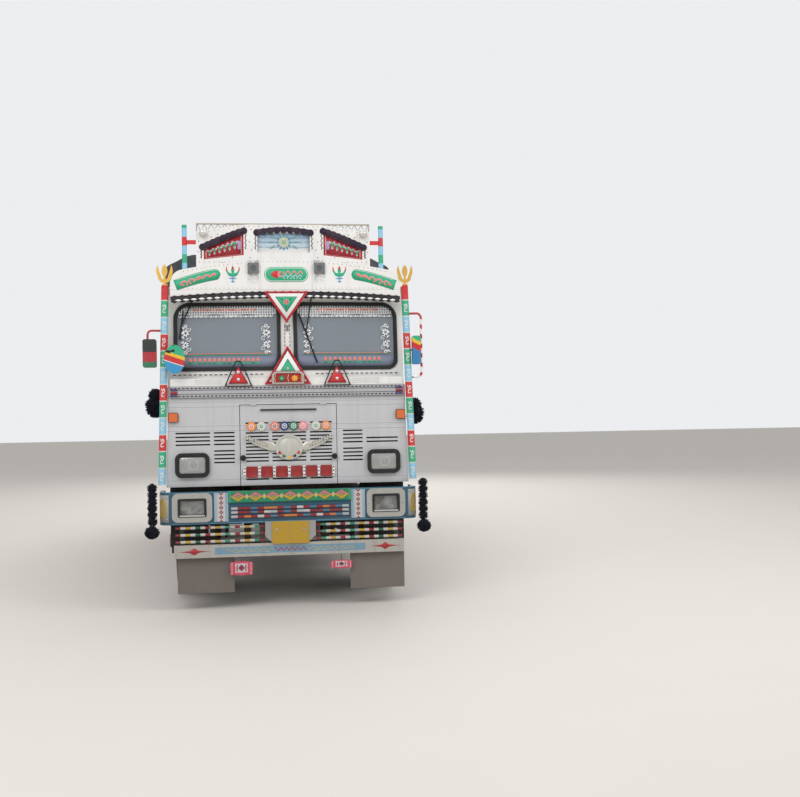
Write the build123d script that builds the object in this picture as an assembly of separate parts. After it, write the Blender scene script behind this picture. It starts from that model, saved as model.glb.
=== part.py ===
from build123d import *
from math import cos, pi, radians, sin, sqrt, tan
import os

# A two-axle goods truck with a coach-built cab and a tall covered load body, in millimetres.
# The front looks along -Y, +X is the side on the right of a front view, the ground is z = 0.
# Side tables use s = -1 for the driver's side (x below 0) and s = +1 for the other side.

# Overall and running gear
overall_length = 8350.0
side_reach = 1330.0
bar_stand_off = 30.0
front_overhang = 1270.0
wheelbase = 4830.0
tyre_radius = 525.0
tyre_width = 274.0
front_track = 1930.0
rear_track = 1860.0
twin_spacing = 320.0
kingpin_inset = 100.0
rim_radius = 256.0
rim_width = 196.0
rim_wall = 10.0
running_gap = 0.05
pin_gap = 2.0
fit_gap = 0.5
shut_gap = 6.0

# Inside the wheels
disc_hole_radius = 26.0
disc_hole_count = 5
disc_hole_place = 188.0
spindle_radius = 30.0
hub_radius = 92.0
drum_radius = 202.0
drum_wall = 12.0
flange_face = 146.0

# Axles and steering
axle_tube_radius = 52.0
beam_height = 90.0
beam_depth = 92.0
beam_drop = 95.0
eye_radius = 42.0
eye_half = 52.0
pin_radius = 22.0
arm_length = 180.0
arm_drop = 92.0
arm_thick = 20.0
tie_pin_radius = 12.0
tie_eye_radius = 24.0
tie_eye_half = 13.0
open_eye_play = 0.3
leaf_thick = 15.0

# Chassis
rail_centre = 391.0
rail_width = 78.0
rail_height = 250.0
rail_wall = 8.0
rail_top = 1000.0
rail_front = 150.0
spring_width = 70.0
cross_places = (210.0, 2260.0, 3300.0, 4700.0, 5420.0, 6780.0, 8080.0)
tow_hole_radius = 21.0
tow_plate_thick = 30.0
tow_flange_thick = 12.0
tow_hole_setback = 45.0
tow_tongue_length = 85.0

# Cab
cab_half = 1120.0
cab_wall = 40.0
cab_length = 1850.0
cab_floor_under = 1150.0
cab_floor_thick = 40.0
panel_setback = 100.0
panel_half = 1135.0
panel_thick = 30.0
panel_top = 1970.0
moulding_top = 2080.0
screen_v = 4.0
screen_rake = 3.0
screen_frame_thick = 45.0
screen_frame_top = 2945.0
pane_inner = 62.0
pane_outer = 1062.0
pane_low = 2222.0
pane_high = 2868.0
pane_top_corner = 150.0
pane_corner = 95.0
seal_width = 34.0
glass_thick = 6.0
roof_edge = 2980.0
roof_crown = 3060.0
roof_side = 30.0
roof_setback = 60.0
door_front = 400.0
door_width = 840.0
door_sill = 1206.0
door_top = 2800.0
belt_height = 2080.0
window_margin = 75.0
quarter_margin = 110.0
cover_top = 1640.0
cover_half = 400.0
cover_wall = 18.0

# Hood flap and the slots beside it
flap_half = 451.0
flap_low = 1145.0
flap_high = 1897.0
flap_thick = 25.0
flap_barrel_radius = 6.0
flap_barrel_length = 60.0
flap_hinge_x = 330.0
slot_height = 14.0
door_barrel_radius = 8.0
door_barrel_length = 90.0
door_hinge_heights = (1400.0, 1960.0)
flap_slot_pitch = 33.0
flap_slot_top = 1636.0
flap_slot_rows = 9
side_slot_top = 1643.0
side_slot_pitch = 36.0

# Bumper and what hangs under it
bumper_half = 1200.0
bumper_low = 803.0
bumper_high = 1104.0
bumper_depth = 330.0
bumper_wall = 40.0
bumper_corner = 110.0
lamp_centre = 900.0
bumper_lamp_size = (250.0, 160.0)
bumper_lamp_z = 958.0
head_lamp_centre = 896.0
head_lamp_size = (308.0, 221.0)
head_lamp_z = 1346.0
lamp_frame = 34.0
valance_low = 493.0
valance_high = 611.0
valance_half = 1070.0
valance_depth = 70.0
lower_tubes = (770.0, 705.0, 640.0)
lower_tube_half = 1055.0
plate_size = (345.0, 207.0)
plate_low = 605.0
# Each cloth tag: left edge, right edge, foot, top
tag_places = ((-563.0, -354.0, 321.0, 453.0), (372.0, 573.0, 352.0, 434.0))

# Forehead, sign board and poles
forehead_low = 2896.0
forehead_lift = 46.0
forehead_skin = 20.0
forehead_top = 3261.0
forehead_half = 1075.0
forehead_radius = 4830.0
forehead_shoulder = 130.0
forehead_front = 50.0
forehead_rear = 500.0
scallop_count = 30
trim_thick = 8.0
sign_setback = 550.0
sign_half = 850.0
sign_thick = 45.0
sign_end_height = 3594.0
sign_mid_height = 3668.0
sign_mid_half = 360.0
rail_line = 3682.0
lattice_steps = 6
lattice_pitch = 33.0
pole_radius = 34.0
pole_foot = 1172.0
pole_foot_x = 1175.0
pole_foot_setback = 80.0
pole_top = 3010.0
pole_top_x = 1122.0
pole_top_setback = 82.0
trident_height = 210.0
trident_half = 75.0
post_radius = 24.0
post_top = 3662.0

# Load body
body_setback = 2100.0
body_half = 1185.0
wall_thick = 35.0
post_depth = 35.0
post_width = 60.0
post_count = 9
runner_height = 120.0
bearer_height = 100.0
bearer_width = 60.0
bearer_count = 12
floor_thick = 50.0
wall_height = 2030.0
tail_inset = 70.0
gate_thick = 40.0
gate_height = 900.0
tarp_thick = 12.0
tarp_over = 24.0
tarp_drop = 600.0
tarp_edge_rise = 150.0
tarp_crown = 330.0
bow_size = 26.0
bow_count = 6
gate_barrel_radius = 12.0
gate_barrel_length = 110.0
gate_hinge_places = (350.0, 900.0)
leaf_low_gap = 10.0
leaf_barrel_radius = 7.0
leaf_barrel_length = 90.0
leaf_hinge_out = 6.0

# Places worked out from the sizes above
front = -overall_length / 2
face = front + bar_stand_off
rear = overall_length / 2
front_axle = face + front_overhang
rear_axle = front_axle + wheelbase
axle_height = tyre_radius
tail = rear - tail_inset
floor_top = rail_top + runner_height + bearer_height + floor_thick
wall_top = floor_top + wall_height
body_front = face + body_setback
body_outer = body_half + post_depth
cab_floor_top = cab_floor_under + cab_floor_thick
panel_face = face + panel_setback
cab_rear = panel_face + cab_length
kingpin = front_track / 2 - kingpin_inset
arm_z = axle_height - arm_drop
tie_rod_z = arm_z - pin_gap - tie_eye_half
gate_y = tail + 5
gate_axis = (gate_y + gate_thick + 5, floor_top - 45)
leaf_low = floor_top + shut_gap + gate_height + leaf_low_gap
leaf_axis_x = body_outer + leaf_hinge_out
door_axis_x = cab_half + door_barrel_radius + 1
sides = (("left", -1), ("right", 1))


# Shapes that are used all over

def block(x0, x1, y0, y1, z0, z1):
    centre = ((x0 + x1) / 2, (y0 + y1) / 2, (z0 + z1) / 2)
    return Pos(*centre) * Box(abs(x1 - x0), abs(y1 - y0), abs(z1 - z0))


def upright(y):
    """A plane seen from the front: its x is x and its y is height."""
    return Plane(origin=(0, y, 0), x_dir=(1, 0, 0), z_dir=(0, -1, 0))


def sheet(sketch, y, thick):
    """A flat front-view outline with its face at y, thick towards the rear."""
    return extrude(upright(y) * sketch, amount=-thick)


def side_sheet(sketch, x, thick):
    """An outline of y and height, thick towards +x from x."""
    plane = Plane(origin=(x, 0, 0), x_dir=(0, 1, 0), z_dir=(1, 0, 0))
    return extrude(plane * sketch, amount=thick)


def rect(x0, x1, z0, z1):
    return Pos((x0 + x1) / 2, (z0 + z1) / 2) * Rectangle(abs(x1 - x0), abs(z1 - z0))


def soft_rect(x0, x1, z0, z1, corner):
    centre = Pos((x0 + x1) / 2, (z0 + z1) / 2)
    return centre * RectangleRounded(abs(x1 - x0), abs(z1 - z0), corner)


def outline(*points):
    return make_face(Polyline(*points, close=True))


def rod(a, b, radius):
    """A round bar from point a to point b."""
    start = Vector(*a)
    run = Vector(*b) - start
    plane = Plane(origin=start, z_dir=run)
    return extrude(plane * Circle(radius), amount=run.length)


def pipe(points, bend, radius):
    """A bent tube through the points, with the same bend at each corner."""
    path = FilletPolyline(*points, radius=bend)
    return sweep(Plane(origin=path @ 0, z_dir=path % 0) * Circle(radius), path=path)


def turned(profile, x, y, z, s=1):
    """A solid of revolution about the X line through y and z.
    The profile gives distance outwards and radius; s turns outwards to -x or +x."""
    solid = revolve(outline(*[(d, r) for d, r in profile]), Axis.X)
    if s < 0:
        solid = mirror(solid, Plane.YZ)
    return Pos(x, y, z) * solid


def both(shape):
    return [shape, mirror(shape, Plane.YZ)]


def joined(shapes):
    solid = shapes[0]
    for shape in shapes[1:]:
        solid = solid + shape
    return solid


def barrels(axis_point, direction, radius, length):
    """A three-knuckle hinge: the two outer knuckles with their pin, then the middle one."""
    centre = Vector(*axis_point)
    run = Vector(*direction)
    outer = rod(tuple(centre - run * length / 2), tuple(centre + run * length / 2), radius)
    gap = rod(tuple(centre - run * length / 5), tuple(centre + run * length / 5), radius + 1)
    pin = rod(tuple(centre - run * length / 2), tuple(centre + run * length / 2), radius / 2)
    middle_half = length / 5 - 1
    middle = rod(tuple(centre - run * middle_half), tuple(centre + run * middle_half), radius)
    bore = rod(tuple(centre - run * length / 2), tuple(centre + run * length / 2),
               radius / 2 + running_gap)
    return outer - gap + pin, middle - bore


def knuckle_spans(middle, length):
    """Extents of the three knuckles along a hinge, the moving one in the middle."""
    edge = length / 2
    inner = length / 5
    return ((middle - edge, middle - inner), (middle + inner, middle + edge)), \
        (middle - inner + 1, middle + inner - 1)


# Wheels, axles and steering

def tyre(x, y):
    half = tyre_width / 2
    bead = rim_width / 2 - rim_wall - fit_gap
    seat = rim_radius + fit_gap
    bulge = (rim_radius + tyre_radius) / 2
    side = [(bead, seat), (half, bulge), (half - 9, tyre_radius - 45), (half - 30, tyre_radius)]
    lining = [(bead - 16, seat), (half - 26, bulge), (half - 42, tyre_radius - 35)]
    profile = [(-d, r) for d, r in side] + list(reversed(side))
    profile += lining + [(-d, r) for d, r in reversed(lining)]
    return turned(profile, x, y, axle_height)


def rim_profile():
    half = rim_width / 2
    flange = rim_radius + 18
    well = rim_radius - 22
    return [
        (-half, rim_radius - rim_wall), (-half, flange), (-half + 9, rim_radius),
        (-45, rim_radius), (-30, well + rim_wall), (30, well + rim_wall), (45, rim_radius),
        (half - 9, rim_radius), (half, flange), (half, rim_radius - rim_wall),
        (48, rim_radius - rim_wall), (34, well), (-34, well), (-48, rim_radius - rim_wall),
    ]


def wheel_disc(inset, thick=12.0):
    """The dished disc from the rim's well out to the flat that the studs clamp."""
    well = rim_radius - 22
    return [(inset, well + 2), (inset, well - 12), (flange_face - 4, 158),
            (flange_face - 4, hub_radius - 6), (flange_face + thick - 4, hub_radius - 6),
            (flange_face + thick - 4, 166), (inset + 14, well + 2)]


def disc_holes(x, y, s, count, radius, place, low, high):
    holes = []
    for i in range(count):
        angle = 2 * pi * i / count
        a = (x + s * low, y + place * cos(angle), axle_height + place * sin(angle))
        b = (x + s * high, a[1], a[2])
        holes.append(rod(a, b, radius))
    return holes


def front_wheel(s):
    x = s * front_track / 2
    rim = turned(rim_profile(), x, front_axle, axle_height, s)
    disc = turned(wheel_disc(20.0), x, front_axle, axle_height, s)
    for hole in disc_holes(x, front_axle, s, disc_hole_count, disc_hole_radius,
                           disc_hole_place, 20, 190):
        disc = disc - hole
    bore = spindle_radius + running_gap
    hub = turned([(-28, bore), (-28, 70), (50, 70), (50, hub_radius),
                  (flange_face + 12, hub_radius), (flange_face + 12, 74),
                  (215, 66), (215, 0), (195, 0), (195, bore)], x, front_axle, axle_height, s)
    drum = turned([(-68, drum_radius - drum_wall), (-68, drum_radius), (62, drum_radius),
                   (62, 80), (50, 80), (50, drum_radius - drum_wall)],
                  x, front_axle, axle_height, s)
    return joined([rim, disc, hub, drum])


def rear_wheels(s):
    """Twin rims whose discs meet between them, on one hub and drum."""
    middle = s * rear_track / 2
    outer = middle + s * twin_spacing / 2
    inner = middle - s * twin_spacing / 2
    solids = []
    for x, way in ((outer, -s), (inner, s)):
        rim = turned(rim_profile(), x, rear_axle, axle_height, way)
        disc = turned(wheel_disc(20.0, twin_spacing / 2 - flange_face + 4), x, rear_axle,
                      axle_height, way)
        for hole in disc_holes(x, rear_axle, way, disc_hole_count, disc_hole_radius,
                               disc_hole_place, 20, 190):
            disc = disc - hole
        solids += [rim, disc]
    bore = axle_tube_radius + running_gap
    hub = turned([(-150, bore), (-150, 105), (-60, 105), (-60, hub_radius), (120, hub_radius),
                  (120, 108), (150, 108), (150, 60), (205, 52), (205, 0), (185, 0), (185, bore)],
                 middle, rear_axle, axle_height, s)
    drum = turned([(-205, drum_radius - drum_wall), (-205, drum_radius), (-80, drum_radius),
                   (-80, 90), (-92, 90), (-92, drum_radius - drum_wall)],
                  middle, rear_axle, axle_height, s)
    return joined(solids + [hub, drum])


def front_beam():
    """A dropped I beam with an upright eye at each end."""
    top = axle_height - beam_drop + beam_height / 2
    low = top - beam_height
    end = kingpin
    shape = outline((-end, axle_height + 40), (-end + 130, axle_height + 40), (-620, top),
                    (620, top), (end - 130, axle_height + 40), (end, axle_height + 40),
                    (end, axle_height - 45), (end - 90, axle_height - 45), (600, low),
                    (-600, low), (-end + 90, axle_height - 45), (-end, axle_height - 45))
    beam = sheet(shape, front_axle - beam_depth / 2, beam_depth)
    groove = rect(-560, 560, low + 18, top - 18)
    beam = beam - sheet(groove, front_axle - beam_depth / 2 - 1, 31)
    beam = beam - sheet(groove, front_axle + beam_depth / 2 - 30, 31)
    for _, s in sides:
        x = s * kingpin
        clear = block(x, x + s * 90, front_axle - 60, front_axle + 60,
                      axle_height - 70, axle_height + 70)
        beam = beam - clear
        eye = rod((x, front_axle, axle_height - eye_half), (x, front_axle, axle_height + eye_half),
                  eye_radius)
        hole = rod((x, front_axle, axle_height - 90), (x, front_axle, axle_height + 90),
                   pin_radius + running_gap)
        room = rod((x, front_axle, axle_height + eye_half), (x, front_axle, axle_height + 120), 62)
        under = rod((x, front_axle, axle_height - 120), (x, front_axle, axle_height - eye_half), 62)
        beam = beam + eye - hole - room - under
    seat_x = rail_centre
    for s in (-1, 1):
        beam = beam + block(s * seat_x - 45, s * seat_x + 45, front_axle - 75, front_axle + 75,
                            top - 5, top + 12)
    return beam


def knuckle(s):
    """The fork on the kingpin, with the spindle outwards and the steering arm to the rear."""
    x = s * kingpin
    yoke_low = eye_half + pin_gap
    yoke_high = yoke_low + 38
    pin = rod((x, front_axle, axle_height - yoke_high), (x, front_axle, axle_height + yoke_high),
              pin_radius)
    plate = block(x + s * (eye_radius + 6), x + s * (eye_radius + 24), front_axle - 48,
                  front_axle + 48, axle_height - yoke_high, axle_height + yoke_high)
    parts = [plate, pin]
    for low in (-yoke_high, yoke_low):
        ear = rod((x, front_axle, axle_height + low), (x, front_axle, axle_height + low + 38),
                  eye_radius)
        web = block(x, x + s * (eye_radius + 20), front_axle - eye_radius,
                    front_axle + eye_radius, axle_height + low, axle_height + low + 38)
        parts += [ear, web]
    spindle_root = kingpin + eye_radius + 20
    hub_start = front_track / 2 - 32
    flange = rod((s * spindle_root, front_axle, axle_height),
                 (s * hub_start, front_axle, axle_height), 60)
    spindle = rod((s * spindle_root, front_axle, axle_height),
                  (s * (front_track / 2 + 188), front_axle, axle_height), spindle_radius)
    plate_disc = rod((s * (kingpin + eye_radius + 14), front_axle, axle_height),
                     (s * (kingpin + eye_radius + 22), front_axle, axle_height),
                     drum_radius - drum_wall - 8)
    arm_end = front_axle + arm_length
    arm = block(x - tie_eye_radius + 2, x + tie_eye_radius - 2, front_axle, arm_end, arm_z,
                arm_z + arm_thick)
    boss = rod((x, arm_end, arm_z), (x, arm_end, arm_z + arm_thick), tie_eye_radius)
    tie_pin = rod((x, arm_end, tie_rod_z - tie_eye_half - 4), (x, arm_end, arm_z + 5),
                  tie_pin_radius)
    return joined(parts + [flange, spindle, plate_disc, arm, boss, tie_pin])


def tie_rod():
    """A bar between the arms' pins; its right eye has a little more play."""
    y = front_axle + arm_length
    x = kingpin
    z = tie_rod_z
    bar_end = x - tie_eye_radius + 4
    solid = rod((-bar_end, y, z), (bar_end, y, z), tie_eye_half - 1)
    for s, gap in ((-1, running_gap), (1, open_eye_play)):
        eye = rod((s * x, y, z - tie_eye_half), (s * x, y, z + tie_eye_half), tie_eye_radius)
        hole = rod((s * x, y, z - 20), (s * x, y, z + 20), tie_pin_radius + gap)
        solid = solid + eye - hole
    return solid


def rear_axle_housing():
    """A banjo housing with its pinion nose forwards and tubes out into the hubs."""
    reach = rear_track / 2 + 178
    half = [(0, 185), (95, 178), (185, 105), (300, 72), (rear_track / 2 - 165, 68),
            (rear_track / 2 - 165, axle_tube_radius), (reach, axle_tube_radius), (reach, 0), (0, 0)]
    right = turned(half, 0, rear_axle, axle_height)
    left = turned(half, 0, rear_axle, axle_height, -1)
    nose = rod((0, rear_axle - 330, axle_height + 25), (0, rear_axle, axle_height + 25), 88)
    tip = rod((0, rear_axle - 380, axle_height + 25), (0, rear_axle - 320, axle_height + 25), 52)
    solid = joined([right, left, nose, tip])
    for s in (-1, 1):
        solid = solid + block(s * rail_centre - 50, s * rail_centre + 50, rear_axle - 80,
                              rear_axle + 80, axle_height + 40, axle_height + 84)
        plate = rod((s * (rear_track / 2 - 192), rear_axle, axle_height),
                    (s * (rear_track / 2 - 184), rear_axle, axle_height),
                    drum_radius - drum_wall - 8)
        solid = solid + plate
    return solid


def leaf_spring(x, y, seat, half_span, leaves, eye_z):
    """A stack of leaves bent to one camber, each shorter than the one above it."""
    rise = eye_z - (seat + leaves * leaf_thick)
    radius = (half_span ** 2 + rise ** 2) / (2 * rise)
    solid = None
    for i in range(leaves):
        top = seat + (leaves - i) * leaf_thick
        span = half_span * (1 - 0.13 * i)
        sag = radius - sqrt(radius ** 2 - span ** 2)
        upper = ThreePointArc((y - span, top + sag), (y, top), (y + span, top + sag))
        right = Line((y + span, top + sag), (y + span, top + sag - leaf_thick))
        lower = ThreePointArc((y + span, top + sag - leaf_thick), (y, top - leaf_thick),
                              (y - span, top + sag - leaf_thick))
        left = Line((y - span, top + sag - leaf_thick), (y - span, top + sag))
        face_of_leaf = make_face([upper, right, lower, left])
        leaf = side_sheet(face_of_leaf, x - spring_width / 2, spring_width)
        solid = leaf if solid is None else solid + leaf
    for end in (-1, 1):
        hanger = block(x - spring_width / 2, x + spring_width / 2, y + end * half_span - 35,
                       y + end * half_span + 35, eye_z - 25, rail_top - rail_height)
        solid = solid + hanger
    return solid


def springs():
    beam_top = axle_height - beam_drop + beam_height / 2 + 12
    shapes = []
    for _, s in sides:
        shapes.append(leaf_spring(s * rail_centre, front_axle, beam_top, 640.0, 6,
                                  rail_top - rail_height - 40))
        shapes.append(leaf_spring(s * rail_centre, rear_axle, axle_height + 84, 690.0, 4,
                                  rail_top - rail_height - 18))
    return shapes


# Chassis and what it carries

def rail(s):
    x = s * rail_centre
    y0 = face + rail_front
    y1 = tail - 20
    z0 = rail_top - rail_height
    outer = block(x - rail_width / 2, x + rail_width / 2, y0, y1, z0, rail_top)
    web_side = x + s * (rail_width / 2 - rail_wall)
    inner_side = x - s * (rail_width / 2 + 1)
    hollow = block(web_side, inner_side, y0 - 1, y1 + 1, z0 + rail_wall, rail_top - rail_wall)
    return outer - hollow


def cross_members():
    """Channels between the rails."""
    z0 = rail_top - rail_height + rail_wall + 1
    z1 = rail_top - rail_wall - 1
    inner = rail_centre + rail_width / 2 - rail_wall - fit_gap
    members = []
    for place in cross_places:
        y = face + place
        bar = block(-inner, inner, y - 40, y + 40, z0 + 20, z1 - 20)
        bar = bar - block(-inner - 1, inner + 1, y - 32, y + 60, z0 + 28, z1 - 28)
        for _, s in sides:
            foot = block(s * (inner - 12), s * inner, y - 40, y + 40, z0, z1)
            bar = bar + foot
        members.append(bar)
    return members


def towing_plate():
    """A thick plate with a pin hole, flanged onto the back of the last cross member."""
    y0 = face + cross_places[-1] + 40 + fit_gap
    z0 = rail_top - rail_height + rail_wall + 29
    flange = block(-110, 110, y0, y0 + tow_flange_thick, z0 - 60, z0 + 110)
    tongue = block(-70, 70, y0, y0 + tow_tongue_length, z0, z0 + tow_plate_thick)
    hole_y = y0 + tow_hole_setback
    return flange + tongue - rod((0, hole_y, z0 - 1), (0, hole_y, z0 + tow_plate_thick + 1),
                                 tow_hole_radius)


def engine():
    """One block for the engine with its gearbox behind it."""
    y0 = face + 520
    y1 = face + 1500
    body = block(-270, 270, y0, y1, 660, 1520)
    head = block(-190, 190, y0 + 60, y1 - 80, 1520, 1580)
    bell = rod((0, y1, 790), (0, y1 + 160, 790), 230)
    gearbox = block(-170, 170, y1 + 150, y1 + 640, 610, 900)
    mounts = []
    for _, s in sides:
        for y in (y0 + 120, y1 - 180):
            mounts.append(block(s * 260, s * (rail_centre - rail_width / 2 - fit_gap), y, y + 80,
                                rail_top - 60, rail_top))
    return joined([body, head, bell, gearbox] + mounts)


def radiator():
    y0 = face + 330
    core = block(-360, 360, y0, y0 + 90, 1010, 1545)
    tank = block(-330, 330, y0 + 10, y0 + 80, 1545, 1600)
    foot = block(-rail_centre - 20, rail_centre + 20, y0 + 10, y0 + 80, rail_top + fit_gap, 1012)
    return joined([core, tank, foot])


def propeller_shaft():
    a = (0, face + 2141, 715)
    b = (0, rear_axle - 385, axle_height + 25)
    shaft = rod(a, b, 45)
    return shaft


def under_tanks():
    """Fuel tank on one side, battery box and air reservoirs on the other, all on rail brackets."""
    web = rail_centre + rail_width / 2 + fit_gap
    fuel = block(web + 20, 1010, face + 2350, face + 3350, 480, 930)
    fuel = fillet(fuel.edges().filter_by(Axis.Y), 70)
    battery = block(-1020, -web - 20, face + 2350, face + 2900, 560, 900)
    air = []
    for z in (600, 850):
        air.append(rod((-760, face + 3050, z), (-760, face + 3850, z), 115))
    for y in (face + 2500, face + 3150):
        fuel = fuel + block(web, web + 60, y, y + 60, rail_top - rail_height + 10, 860)
    for y in (face + 2400, face + 2790):
        battery = battery + block(-web - 60, -web, y, y + 60, rail_top - rail_height + 10, 860)
    for y in (face + 3150, face + 3710):
        air.append(block(-770, -web, y, y + 16, rail_top - rail_height - 160, rail_top - 80))
    return [fuel, battery, joined(air)]


def exhaust():
    web = rail_centre + rail_width / 2 + fit_gap
    muffler = rod((620, face + 3550, 640), (620, face + 4350, 640), 130)
    tail_pipe = rod((620, face + 4350, 640), (620, face + 4700, 640), 42)
    brackets = [block(web, 640, y, y + 16, 700, 860) for y in (face + 3650, face + 4230)]
    return joined([muffler, tail_pipe] + brackets)


def side_guards():
    """Two tubes along each side between the axles, on flat drop brackets."""
    shapes = []
    y0 = front_axle + 800
    y1 = rear_axle - 700
    for _, s in sides:
        x = s * 1140
        guard = rod((x, y0, 560), (x, y1, 560), 22) + rod((x, y0, 800), (x, y1, 800), 22)
        for i in (1, 3, 5):
            y = bearer_y(i)
            guard = guard + block(x - s * 20, x - s * 32, y - 30, y + 30, 530,
                                  rail_top + runner_height)
            guard = guard + block(x - s * 26, x, y - 12, y + 12, 548, 572)
            guard = guard + block(x - s * 26, x, y - 12, y + 12, 788, 812)
        shapes.append(guard)
    return shapes


# Front end

def bumper_plan(half, depth, corner):
    y0 = 0
    points = Polyline((-half, depth), (-half, y0), (half, y0), (half, depth), close=True)
    plan = make_face(points)
    front_corners = plan.vertices().group_by(Axis.Y)[0]
    return fillet(front_corners, corner)


def bumper():
    outer = bumper_plan(bumper_half, bumper_depth, bumper_corner)
    inner = bumper_plan(bumper_half - bumper_wall, bumper_depth + 10,
                        bumper_corner - bumper_wall)
    inner = Pos(0, bumper_wall) * inner
    ring = outer - inner
    shell = extrude(Pos(0, face, bumper_low) * ring, amount=bumper_high - bumper_low)
    half_w = bumper_lamp_size[0] / 2
    half_h = bumper_lamp_size[1] / 2
    for _, s in sides:
        x = s * lamp_centre
        hole = soft_rect(x - half_w, x + half_w, bumper_lamp_z - half_h, bumper_lamp_z + half_h, 12)
        shell = shell - sheet(hole, face - 10, bumper_wall + 20)
        arm = block(s * (rail_centre - 30), s * (rail_centre + 30), face + bumper_wall,
                    face + rail_front, bumper_low + 20, rail_top - 10)
        shell = shell + arm
    return shell


def lamp_plates():
    """Raised surrounds of the bumper lamps, with the strip panels beside them."""
    shapes = []
    half_w = bumper_lamp_size[0] / 2
    half_h = bumper_lamp_size[1] / 2
    for _, s in sides:
        x = s * lamp_centre
        plate = soft_rect(x - 183, x + 183, bumper_low + 22, bumper_high - 10, 55)
        hole = soft_rect(x - half_w, x + half_w, bumper_lamp_z - half_h, bumper_lamp_z + half_h, 12)
        shapes.append(sheet(plate - hole, face - 14, 14 - fit_gap))
        strip = rect(s * 572, s * 700, bumper_low + 22, bumper_high - 14)
        shapes.append(sheet(strip, face - 10, 10 - fit_gap))
    return shapes


def bumper_bars():
    """A fat half-round bar over three thin ones on the middle of the bumper."""
    middle = (bumper_high - 112 + bumper_high) / 2
    fat = rod((-568, face - 1, middle), (568, face - 1, middle), 56)
    fat = fat & block(-570, 570, face - bar_stand_off, face - fit_gap, middle - 60, middle + 60)
    shapes = [fat]
    for z in (941, 905, 866):
        shapes.append(rod((-545, face - 12, z), (545, face - 12, z), 11))
    return shapes


def bumper_lamps():
    shapes = []
    half_w = bumper_lamp_size[0] / 2 - 2
    half_h = bumper_lamp_size[1] / 2 - 2
    for _, s in sides:
        x = s * lamp_centre
        lens = soft_rect(x - half_w, x + half_w, bumper_lamp_z - half_h, bumper_lamp_z + half_h, 12)
        shapes.append(sheet(lens, face + 14, 60))
    return shapes


def head_lamps():
    """Lamps in rounded rubber frames, set into the front panel."""
    shapes = []
    half_w = head_lamp_size[0] / 2
    half_h = head_lamp_size[1] / 2
    for _, s in sides:
        x = s * head_lamp_centre
        low = head_lamp_z - half_h
        high = head_lamp_z + half_h
        frame_shape = soft_rect(x - half_w, x + half_w, low, high, 55)
        lens = soft_rect(x - half_w + lamp_frame, x + half_w - lamp_frame, low + lamp_frame,
                         high - lamp_frame, 28)
        ring = sheet(frame_shape - lens, panel_face - 22, 22 - fit_gap)
        back = soft_rect(x - half_w + 12, x + half_w - 12, low + 12, high - 12, 45)
        body = sheet(back, panel_face + 6, 60)
        glass = sheet(lens, panel_face - 10, 20)
        shapes.append(ring + glass + body)
    return shapes


def plate_and_bracket():
    y = face - 6
    plate_half = plate_size[0] / 2
    top = plate_low + plate_size[1]
    bracket = outline((-plate_half + 10, plate_low + 6), (plate_half - 10, plate_low + 6),
                      (235, plate_low + 70), (235, top), (-235, top), (-235, plate_low + 70))
    back = sheet(bracket, y, 6 - fit_gap)
    plate = sheet(soft_rect(-plate_half, plate_half, plate_low, top, 12), y - 6, 6 - fit_gap)
    return [back, plate]


def valance():
    """The low channel across the front, with three tubes above it on flat straps."""
    channel = block(-valance_half, valance_half, face + 10, face + valance_depth, valance_low,
                    valance_high)
    channel = channel - block(-valance_half - 1, valance_half + 1, face + 18,
                              face + valance_depth + 10, valance_low + 8, valance_high - 8)
    shapes = [channel]
    for z in lower_tubes:
        for s in (-1, 1):
            shapes.append(rod((s * 242, face + 30, z), (s * lower_tube_half, face + 30, z), 11))
    for x in (-1000, -620, -260, 260, 620, 1000):
        shapes.append(block(x - 18, x + 18, face + 26, face + 36, valance_high - 10, bumper_low))
    return joined(shapes)


def front_flaps():
    """Stiff mud flaps that hang behind the valance."""
    y = face + valance_depth + fit_gap
    shapes = []
    for x0, x1, z0 in ((-1044, -523, 158), (561, 1076, 150)):
        shapes.append(block(x0, x1, y, y + 12, z0, valance_high))
    return shapes


def front_panel():
    """The pressed lower front, open for the hood flap, with slots and lamp holes."""
    top = panel_top
    shape = outline((-panel_half, flap_low), (panel_half, flap_low), (panel_half - 25, top),
                    (-panel_half + 25, top))
    opening = rect(-flap_half - shut_gap, flap_half + shut_gap, flap_low - 1,
                   flap_high + shut_gap)
    shape = shape - opening
    columns = ((-1047, -730, (0, 1, 2, 3)), (-695, -504, (0, 1, 2, 3, 4.7, 5.7, 6.7, 7.7)),
               (513, 700, (0, 1, 2, 3, 4.7, 5.7, 6.7, 7.7)), (736, 1038, (2, 3)))
    for x0, x1, rows in columns:
        for row in rows:
            z = side_slot_top - side_slot_pitch * row
            shape = shape - rect(x0, x1, z - slot_height / 2, z + slot_height / 2)
    half_w = head_lamp_size[0] / 2 - 12 + fit_gap
    half_h = head_lamp_size[1] / 2 - 12 + fit_gap
    for _, s in sides:
        x = s * head_lamp_centre
        hole = soft_rect(x - half_w, x + half_w, head_lamp_z - half_h, head_lamp_z + half_h, 45)
        shape = shape - hole
    panel = sheet(shape, panel_face, panel_thick)
    for _, s in sides:
        fixed, _ = barrels(flap_axis(s), (1, 0, 0), flap_barrel_radius, flap_barrel_length)
        ends, _ = knuckle_spans(s * flap_hinge_x, flap_barrel_length)
        for x0, x1 in ends:
            fixed = fixed + block(x0, x1, panel_face - 3, panel_face, flap_axis(s)[2] + 1,
                                  flap_high + shut_gap + 22)
        panel = panel + fixed
    return panel


def flap_axis(s):
    """A point on the flap's hinge line, just above the flap and in front of its face."""
    return (s * flap_hinge_x, panel_face - flap_barrel_radius, flap_high + shut_gap / 2)


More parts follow.
